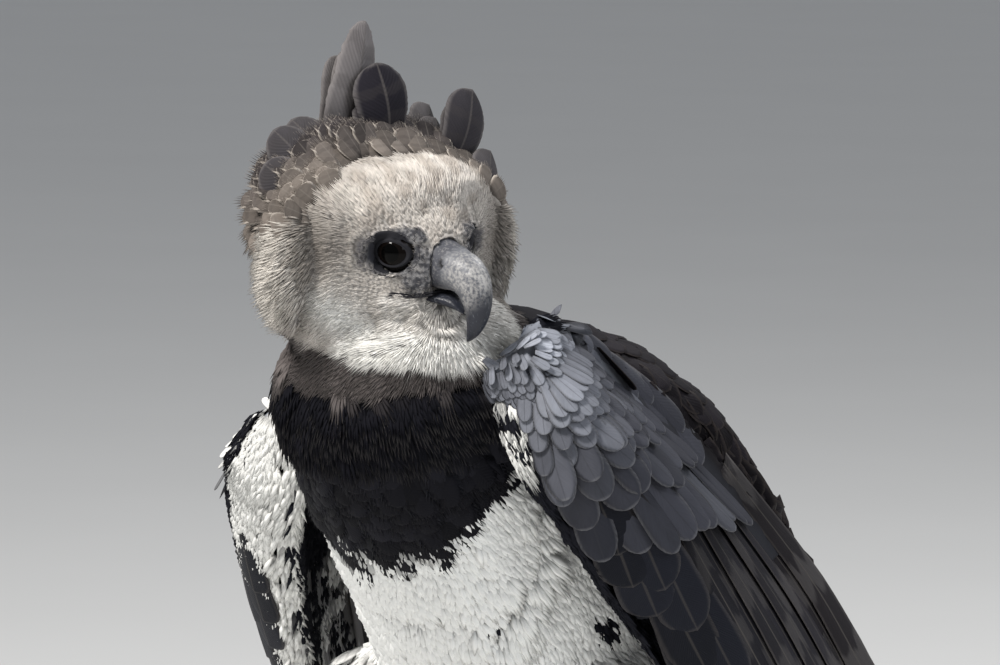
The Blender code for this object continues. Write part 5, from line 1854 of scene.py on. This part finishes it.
def make_crest():
    """The big feathers of the crest, each with three smaller ones at its foot."""
    feathers = Feathers(87)
    draw = feathers.draw

    def add(foot, tip, half, pale, rows=38, frays=0.012, widest=0.70):
        line = crest_line(foot, tip, 0.006, rows)
        along = unit(line[-1] - line[0])
        out = np.tile(unit(np.cross(along, unit(np.cross(FORWARD, along)))), (rows, 1))
        feathers.add(line, out, half, lambda: mix(CREST_DARK, CREST_PALE, pale) * draw.uniform(0.85, 1.15),
                     (0.30, 0.45, 0.30), cup=0.22, foot=0.35, widest=widest, cols=11, frays=frays,
                     thick=0.0006)

    for name, foot, tip, half, pale in CREST:
        tall = name == "tall"
        add(foot, tip, half * 0.97, pale, frays=0.035 if tall else 0.010, widest=0.45 if tall else 0.70)
        foot, tip = arr(*foot), arr(*tip)
        for n in range(3):
            swing = arr(-0.004 - 0.003 * n, draw.normal(0, 0.005), draw.normal(0, 0.002))
            add(tuple(foot + swing * 0.6), tuple(foot + (tip - foot) * (0.80 - 0.10 * n) + swing),
                half * draw.uniform(0.6, 0.8), min(1.0, pale + draw.uniform(0, 0.2)), rows=24)
    vane = finish_named("crest_vane", vane_finish, 0.60, 0.0, (0.20, 0.185, 0.18), (0.11, 0.10, 0.095),
                        (0.045, 0.040, 0.040), 60.0, 0.2, 0.35)
    return feathers.joined("crest_feathers", vane)


# The bill, as the frame has it, with a nostril, a cere and a cutting edge

CULMEN_CENTRE = (0.0550, -0.0100)
CULMEN_RADIUS = 0.0250
RIDGE_TURNS = (85, 66, 47, 28, 9, -9, -26, -42, -54, -61)
CUTTING_EDGE = [(0.0540, -0.0072), (0.0590, -0.0078), (0.0628, -0.0105), (0.0650, -0.0142),
                (0.0662, -0.0182), (0.0666, -0.0222), (0.0664, -0.0256), (0.0662, -0.0284),
                (0.0660, -0.0305), (0.0662, -0.0318)]
BILL_WIDTHS = (0.0115, 0.0104, 0.0092, 0.0079, 0.0065, 0.0052, 0.0040, 0.0028, 0.0018, 0.0008)
BILL_BASE = [((0.0370, 0.0200), (0.0370, -0.0084), 0.0124), ((0.0420, 0.0190), (0.0420, -0.0082), 0.0126),
             ((0.0475, 0.0170), (0.0470, -0.0078), 0.0122)]
LOWER_BILL = [((0.0340, -0.0104), (0.0340, -0.0150), 0.0118),
              ((0.0410, -0.0096), (0.0410, -0.0154), 0.0108),
              ((0.0480, -0.0090), (0.0490, -0.0158), 0.0092),
              ((0.0550, -0.0096), (0.0560, -0.0164), 0.0070),
              ((0.0600, -0.0124), (0.0612, -0.0174), 0.0048),
              ((0.0632, -0.0158), (0.0640, -0.0184), 0.0022)]
NOSTRIL = arr(0.0535, 0.0072)
NOSTRIL_SLANT = 0.35
CERE_END = 0.235


def upper_stations():
    stations = list(BILL_BASE)
    for turn, edge, width in zip(RIDGE_TURNS, CUTTING_EDGE, BILL_WIDTHS):
        angle = math.radians(turn)
        stations.append(((CULMEN_CENTRE[0] + CULMEN_RADIUS * math.cos(angle),
                          CULMEN_CENTRE[1] + CULMEN_RADIUS * math.sin(angle)), edge, width))
    return stations


def bill_surface(stations, rows, cols, pinch):
    """Rings of the bill in the head's frame, with how far along and how low each point is."""
    t = np.linspace(0, 1, rows)
    top = curve_through([s[0] for s in stations], t)
    low = curve_through([s[1] for s in stations], t)
    wide = curve_through([(s[2],) for s in stations], t)[:, 0]
    turn = np.linspace(0, 2 * math.pi, cols, endpoint=False)
    c, s = np.cos(turn), np.sin(turn)
    middle, half = (top + low) / 2, (top - low) / 2
    shape = np.abs(s) ** pinch * np.sign(s)
    rings = np.zeros((rows, cols, 3))
    rings[..., 0] = middle[:, :1] + half[:, :1] * c
    rings[..., 2] = middle[:, 1:] + half[:, 1:] * c
    rings[..., 1] = wide[:, None] * shape
    return rings, np.tile(t[:, None], (1, cols)), np.tile((1 - c) / 2, (rows, 1))


def make_bill():
    rings, along, low = bill_surface(upper_stations(), 74, 56, 0.92)
    f, s, h = rings[..., 0], rings[..., 1], rings[..., 2]
    slant = (f - NOSTRIL[0]) + (h - NOSTRIL[1]) * NOSTRIL_SLANT
    rise = (h - NOSTRIL[1]) - (f - NOSTRIL[0]) * NOSTRIL_SLANT
    hole = np.sqrt((slant / 0.0011) ** 2 + (rise / 0.0028) ** 2)
    beside = np.abs(s) > 0.004
    pit = step(1.15, 0.55, hole) * beside
    swell = (1 - step(CERE_END - 0.012, CERE_END + 0.004, along)) * step(0.02, 0.08, along) * 0.00045
    swell = swell + 0.0004 * step(1.9, 1.2, hole) * beside
    shift = swell - pit * 0.0016
    rings[..., 1] += np.sign(s) * shift * np.clip(np.abs(s) / 0.006, 0, 1)
    rings[..., 2] += swell * (low < 0.3) * 0.8
    upper = loft("bill_upper_horn", on_head(rings.reshape(-1, 3)).reshape(rings.shape))
    ends = 2
    values = np.dstack([along, low, np.zeros_like(low)]).reshape(-1, 3)
    write_values(upper, "bill", np.vstack([values, np.zeros((ends, 3))]))
    write_values(upper, "pit", np.concatenate([pit.ravel(), np.zeros(ends)]))
    lower_rings, l_along, l_low = bill_surface(LOWER_BILL, 36, 40, 0.95)
    lower = loft("bill_lower_horn", on_head(lower_rings.reshape(-1, 3)).reshape(lower_rings.shape))
    values = np.dstack([0.62 + 0.3 * l_along, l_low * 0.8, np.zeros_like(l_low)]).reshape(-1, 3)
    write_values(lower, "bill", np.vstack([values, np.zeros((ends, 3))]))
    write_values(lower, "pit", np.zeros(len(lower.vertices)))
    made = []
    for mesh, node in ((upper, "bill_upper"), (lower, "bill_lower")):
        mesh.materials.append(finish_named("bill", horn_finish))
        item = new_object(mesh.name, mesh)
        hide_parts(node)
        made.append(item)
    return made


def make_eyes():
    made = []
    for label, sign in SIDES:
        centre, look, ahead, rise = eye_axes(sign)
        polar = np.linspace(0.03, math.pi - 0.03, 40)
        turn = np.linspace(0, 2 * math.pi, 48, endpoint=False)
        bulge = 1.0 + 0.035 * np.exp(-(polar / 0.62) ** 4)
        reach = EYE_RADIUS * 0.985 * bulge
        round_eye = ahead * np.cos(turn)[:, None] + rise * np.sin(turn)[:, None]
        rings = (centre + look * (reach * np.cos(polar))[:, None, None]
                 + round_eye[None] * (reach * np.sin(polar))[:, None, None])
        mesh = loft("eyeball_" + label, rings)
        write_values(mesh, "polar", np.concatenate([np.repeat(polar, 48), (0, math.pi)]))
        mesh.materials.append(finish_named("eye", eye_finish))
        item = new_object("eyeball_" + label, mesh)
        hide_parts("eye_" + label)
        made.append(item)
    return made


# Legs: broad plates over the front of the shanks and the tops of the toes

SHANK = [((0.068, 0.0450, 0.1500), 0.0135, 0.0150), ((0.069, 0.0410, 0.1360), 0.0140, 0.0150),
         ((0.071, 0.0320, 0.1120), 0.0120, 0.0130), ((0.074, 0.0170, 0.0780), 0.0118, 0.0125),
         ((0.076, 0.0060, 0.0520), 0.0135, 0.0145), ((0.077, -0.0030, 0.0340), 0.0190, 0.0205)]
FOOT_CENTRE = (0.078, -0.006)
FOOT_TURN = math.radians(10.0)
TOES = [("inner", -41.0, 0.070, 0.0092, 0.0350), ("middle", 0.0, 0.086, 0.0088, 0.0300),
        ("outer", 41.0, 0.066, 0.0082, 0.0270), ("hind", 176.0, 0.058, 0.0100, 0.0410)]
CLAW_RISE = math.radians(18.0)
CLAW_END = math.radians(-68.0)


def plate_mesh():
    """One scute: a curved closed plate of unit half width and unit length, lapping the next."""
    turns, steps = np.linspace(-1, 1, 7), np.linspace(0, 1, 4)
    top, low, vane = [], [], []
    for t in steps:
        for k in turns:
            swell = 0.10 + 0.16 * t * (1 - 0.6 * t) - 0.10 * k * k
            x, y = k * (1 - 0.10 * t * t), t * (1 - 0.08 * k * k)
            bend = -0.62 * k * k
            top.append((x, y, bend + swell))
            low.append((x * 0.96, y * 0.98, bend - 0.12))
            vane.append((k, t, 0))
    mesh = new_mesh("plate", top + low, sheet_faces(len(steps), len(turns)))
    outward(mesh)
    write_values(mesh, "vane", np.array(vane + vane, dtype=float))
    return mesh


def make_scutes():
    draw = np.random.default_rng(88)
    places, ways, lies, halves, lengths = [], [], [], [], []
    for _, sign in SIDES:
        z = np.arange(0.040, 0.134, 0.0082)
        share = np.interp(z, [s[0][2] for s in SHANK[::-1]], np.linspace(1, 0, len(SHANK)))
        middle = curve_through([s[0] for s in SHANK], share)
        deep = curve_through([(s[2],) for s in SHANK], share)[:, 0]
        wide = curve_through([(s[1],) for s in SHANK], share)[:, 0]
        lean = unit(arr(0, -0.42, -1.0))
        for m, d, w in zip(middle, deep, wide):
            for turn in (-42, 0, 42):
                a = math.radians(turn)
                out = unit(arr(math.sin(a), -math.cos(a), -0.30 * math.cos(a)))
                aside = arr(w * math.sin(a), -d * math.cos(a), 0)
                places.append(m * arr(sign, 1, 1) + aside - out * 0.0009)
                ways.append(out)
                lies.append(lean)
                halves.append(w * 0.46)
                lengths.append(0.0096)
        for _, turn, length, radius, bend in TOES:
            angle = math.radians(turn) + FOOT_TURN
            way = arr(math.sin(angle) * sign, -math.cos(angle), 0)
            end_height = bend * (math.cos(CLAW_RISE) - math.cos(CLAW_END)) + 0.0024
            for along in np.arange(0.026, length - 0.010, 0.0068):
                t = (along - 0.012) / (length - 0.012)
                size = radius * (1.0 + 0.10 * math.cos(2 * math.pi * t * 2.5)) * (1.0 - 0.22 * t)
                height = size * 0.90 + (end_height - size * 0.90) * max(0.0, (t - 0.45) / 0.55) ** 1.6
                slope = max(0.0, (t - 0.45) / 0.55) ** 0.6 * 0.5
                out = unit(arr(0, 0, 1) - way * slope)
                ankle = arr(FOOT_CENTRE[0] * sign, FOOT_CENTRE[1], 0)
                places.append(ankle + way * along + arr(0, 0, height + size * 0.985) - out * 0.0006)
                ways.append(out)
                lies.append(way + arr(0, 0, slope))
                halves.append(size * 0.88)
                lengths.append(0.0085)
    return set_feathers("leg_scutes", plate_mesh(), finish_named("scute", scute_finish),
                        np.array(places) + BIRD_SHIFT, np.array(ways), np.array(lies), 0.03,
                        np.array(lengths), np.array(halves), chosen("leg_yellow"), NO_MARKS, draw,
                        sway=0.02, patch=0.012)


def make_bristles():
    """Short stiff bristles on the bare skin of the lores and brow and round the gape."""
    draw = np.random.default_rng(89)
    mask = skin_part("face") & (SKIN["bare"] > 0.35)
    for _, sign in SIDES:
        centre, look, _, _ = eye_axes(sign)
        mask &= np.linalg.norm(SKIN["points"] - centre - look * 0.009, axis=1) > 0.0125
    places, ways = on_skin(mask, SPACING["bristles"], 18)
    pale = (draw.uniform(0, 1, len(places)) < 0.35).astype(float) * 0.45
    return set_feathers("lore_bristles", tuft_mesh("spike", 3, 0.5, 14, 0.05, 0.10),
                        finish_named("down", down_finish), places, ways, lie_on_head(places), 0.28, 0.0034,
                        0.0018, mix(lore_tone(places), chosen("ash"), pale), NO_MARKS, draw, sway=0.30)


# The stage

AZIMUTH = math.radians(27.0)
ELEVATION = math.radians(7.0)
AIM = arr(0.055, -0.177, 0.661)
DISTANCE = 3.2
VIEW_WIDTH = 0.5263
FLOOR_HALF = 40.0


def make_light(name, place, aim, power, size, colour=(1, 1, 1)):
    lamp = bpy.data.lights.new(name, "AREA")
    lamp.energy, lamp.size, lamp.color = power, size, colour
    item = bpy.data.objects.new(name, lamp)
    bpy.context.scene.collection.objects.link(item)
    item.location = place
    item.rotation_euler = (Vector(aim) - Vector(place)).to_track_quat("-Z", "Y").to_euler()
    return item


def make_stage():
    size = FLOOR_HALF
    corners = [(-size, -size, 0), (size, -size, 0), (size, size, 0), (-size, size, 0)]
    mesh = new_mesh("floor", corners, [(0, 1, 2, 3)])
    mesh.materials.append(plain_finish("floor_finish", (0.70, 0.70, 0.69), 0.9))
    floor = new_object("floor", mesh)
    world = bpy.data.worlds.new("studio")
    world.use_nodes = True
    world.node_tree.nodes["Background"].inputs["Color"].default_value = (0.80, 0.83, 0.88, 1)
    world.node_tree.nodes["Background"].inputs["Strength"].default_value = 0.40
    bpy.context.scene.world = world
    bpy.context.scene.view_settings.view_transform = "Standard"
    power = panel_values().key_power
    aim = AIM + BIRD_SHIFT
    make_light("key", aim + arr(-0.9, -2.3, 2.9), aim, power, 0.9, (1.0, 0.97, 0.93))
    make_light("side", aim + arr(2.8, -0.8, 1.4), aim, power * 0.16, 1.6, (0.93, 0.96, 1.0))
    make_light("back", aim + arr(0.8, 2.6, 2.4), aim, power * 0.22, 1.4)
    lens = bpy.data.cameras.new("photo_view")
    lens.sensor_width = 36.0
    lens.lens = 36.0 * DISTANCE / VIEW_WIDTH
    lens.clip_end = 200.0
    camera = bpy.data.objects.new("photo_view", lens)
    bpy.context.scene.collection.objects.link(camera)
    level = math.cos(ELEVATION)
    back = arr(math.sin(AZIMUTH) * level, -math.cos(AZIMUTH) * level, math.sin(ELEVATION))
    camera.location = aim + back * DISTANCE
    camera.rotation_euler = Vector(-back).to_track_quat("-Z", "Y").to_euler()
    bpy.context.scene.camera = camera


# The add-on: sizes, one operator for each group of pieces, and their panel

def colour_choice(label, about, default):
    return FloatVectorProperty(name=label, description=about, default=default, size=3, min=0.0, max=1.0,
                               subtype="COLOR")


class EagleSizes(bpy.types.PropertyGroup):
    """Sizes, strengths and colours that a user would change."""

    voxel: FloatProperty(name="Skin grain", description="Size of the skin's own faces", default=0.0035,
                         min=0.0015, max=0.01, unit="LENGTH")
    face_spacing: FloatProperty(name="Face tufts", description="Space between the face's tufts",
                                default=0.00150, min=0.001, max=0.01, unit="LENGTH")
    key_power: FloatProperty(name="Key light", description="Power of the main light", default=235.0,
                             unit="POWER")
    ash: colour_choice("Face ash", "Colour of the face and the ruff", (0.52, 0.485, 0.45))
    throat_grey: colour_choice("Throat grey", "Colour of the throat under the chin", (0.100, 0.088, 0.085))
    bib_black: colour_choice("Bib black", "Colour of the bib across the breast", (0.0062, 0.0062, 0.0085))
    belly_white: colour_choice("Belly white", "Colour of the belly", (0.76, 0.765, 0.75))
    slate_pale: colour_choice("Pale slate", "Colour of the smallest coverts", (0.270, 0.285, 0.325))
    back_brown: colour_choice("Back brown", "Colour of the back and tertials", (0.0100, 0.0085, 0.0105))
    leg_yellow: colour_choice("Leg yellow", "Colour of the bare shanks and toes", (0.62, 0.43, 0.12))


def panel_values():
    return bpy.context.scene.eagle_sizes


def chosen(name):
    """A colour as the panel has it."""
    return np.array(getattr(panel_values(), name), dtype=float)


def settle(items, nodes=()):
    """Every finished piece moves with the bird, and stands for its nodes."""
    for item in items:
        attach(item, "root")
    if nodes:
        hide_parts(*nodes)


class EAGLE_OT_skin(bpy.types.Operator):
    """Make the one skin of the eagle's flesh"""

    bl_idname = "eagle.skin"
    bl_label = "Skin"

    def execute(self, context):
        skin, names = make_skin()
        index_skin()
        settle([skin], names)
        return {"FINISHED"}


class EAGLE_OT_head(bpy.types.Operator):
    """Cover the head in tufts, scales and bristles"""

    bl_idname = "eagle.head"
    bl_label = "Head plumage"

    def execute(self, context):
        settle(make_head_plumage())
        settle([make_bristles()])
        return {"FINISHED"}


class EAGLE_OT_crest(bpy.types.Operator):
    """Make the crest's long feathers"""

    bl_idname = "eagle.crest"
    bl_label = "Crest"

    def execute(self, context):
        settle([make_crest()], ["crest_" + row[0] for row in CREST])
        return {"FINISHED"}


class EAGLE_OT_bill(bpy.types.Operator):
    """Make the bill and the eyes"""

    bl_idname = "eagle.bill"
    bl_label = "Bill and eyes"

    def execute(self, context):
        settle(make_bill())
        settle(make_eyes())
        return {"FINISHED"}


class EAGLE_OT_body(bpy.types.Operator):
    """Cover the trunk and thighs in feathers"""

    bl_idname = "eagle.body"
    bl_label = "Body plumage"

    def execute(self, context):
        for item in make_body_plumage():
            pale = any(word in item.name for word in ("belly", "vent", "thighs"))
            settle([item])
        return {"FINISHED"}


class EAGLE_OT_wings(bpy.types.Operator):
    """Make the wings' coverts, long feathers and soft edges"""

    bl_idname = "eagle.wings"
    bl_label = "Wings"

    def execute(self, context):
        for label, sign in SIDES:
            settle([make_coverts(sign, label)])
            settle([make_wing_edge(sign, label)])
            settle([make_flight(sign, label)],
                   ["wing_%s_secondaries" % label, "wing_%s_primaries" % label])
            settle([make_tertials(sign, label)], ["tertials_" + label])
            settle([make_scapulars(sign, label)])
        return {"FINISHED"}


class EAGLE_OT_tail(bpy.types.Operator):
    """Make the tail's fan"""

    bl_idname = "eagle.tail"
    bl_label = "Tail"

    def execute(self, context):
        settle([make_tail()], ["tail"])
        return {"FINISHED"}


class EAGLE_OT_legs(bpy.types.Operator):
    """Plate the legs and finish the claws"""

    bl_idname = "eagle.legs"
    bl_label = "Legs and claws"

    def execute(self, context):
        settle([make_scutes()])
        for name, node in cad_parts.items():
            if name.startswith("claw_"):
                node.data.materials.clear()
                node.data.materials.append(finish_named("claw", claw_finish))
        return {"FINISHED"}


class EAGLE_OT_stage(bpy.types.Operator):
    """Set the floor, the lights and the camera"""

    bl_idname = "eagle.stage"
    bl_label = "Stage"

    def execute(self, context):
        make_stage()
        return {"FINISHED"}


OPERATORS = (EAGLE_OT_skin, EAGLE_OT_head, EAGLE_OT_crest, EAGLE_OT_bill, EAGLE_OT_body, EAGLE_OT_wings,
             EAGLE_OT_tail, EAGLE_OT_legs, EAGLE_OT_stage)


class EAGLE_PT_panel(bpy.types.Panel):
    """The eagle's sizes and pieces"""

    bl_idname = "EAGLE_PT_panel"
    bl_label = "Harpy eagle"
    bl_space_type = "VIEW_3D"
    bl_region_type = "UI"
    bl_category = "Eagle"

    def draw(self, context):
        for name in EagleSizes.__annotations__:
            self.layout.prop(context.scene.eagle_sizes, name)
        for operator in OPERATORS:
            self.layout.operator(operator.bl_idname)


def register():
    for item in (EagleSizes, *OPERATORS, EAGLE_PT_panel):
        bpy.utils.register_class(item)
    bpy.types.Scene.eagle_sizes = PointerProperty(type=EagleSizes)


def unregister():
    del bpy.types.Scene.eagle_sizes
    for item in (EAGLE_PT_panel, *reversed(OPERATORS), EagleSizes):
        bpy.utils.unregister_class(item)


def main():
    register()
    for operator in OPERATORS:
        group, name = operator.bl_idname.split(".")
        getattr(getattr(bpy.ops, group), name)()


if __name__ == "__main__":
    main()
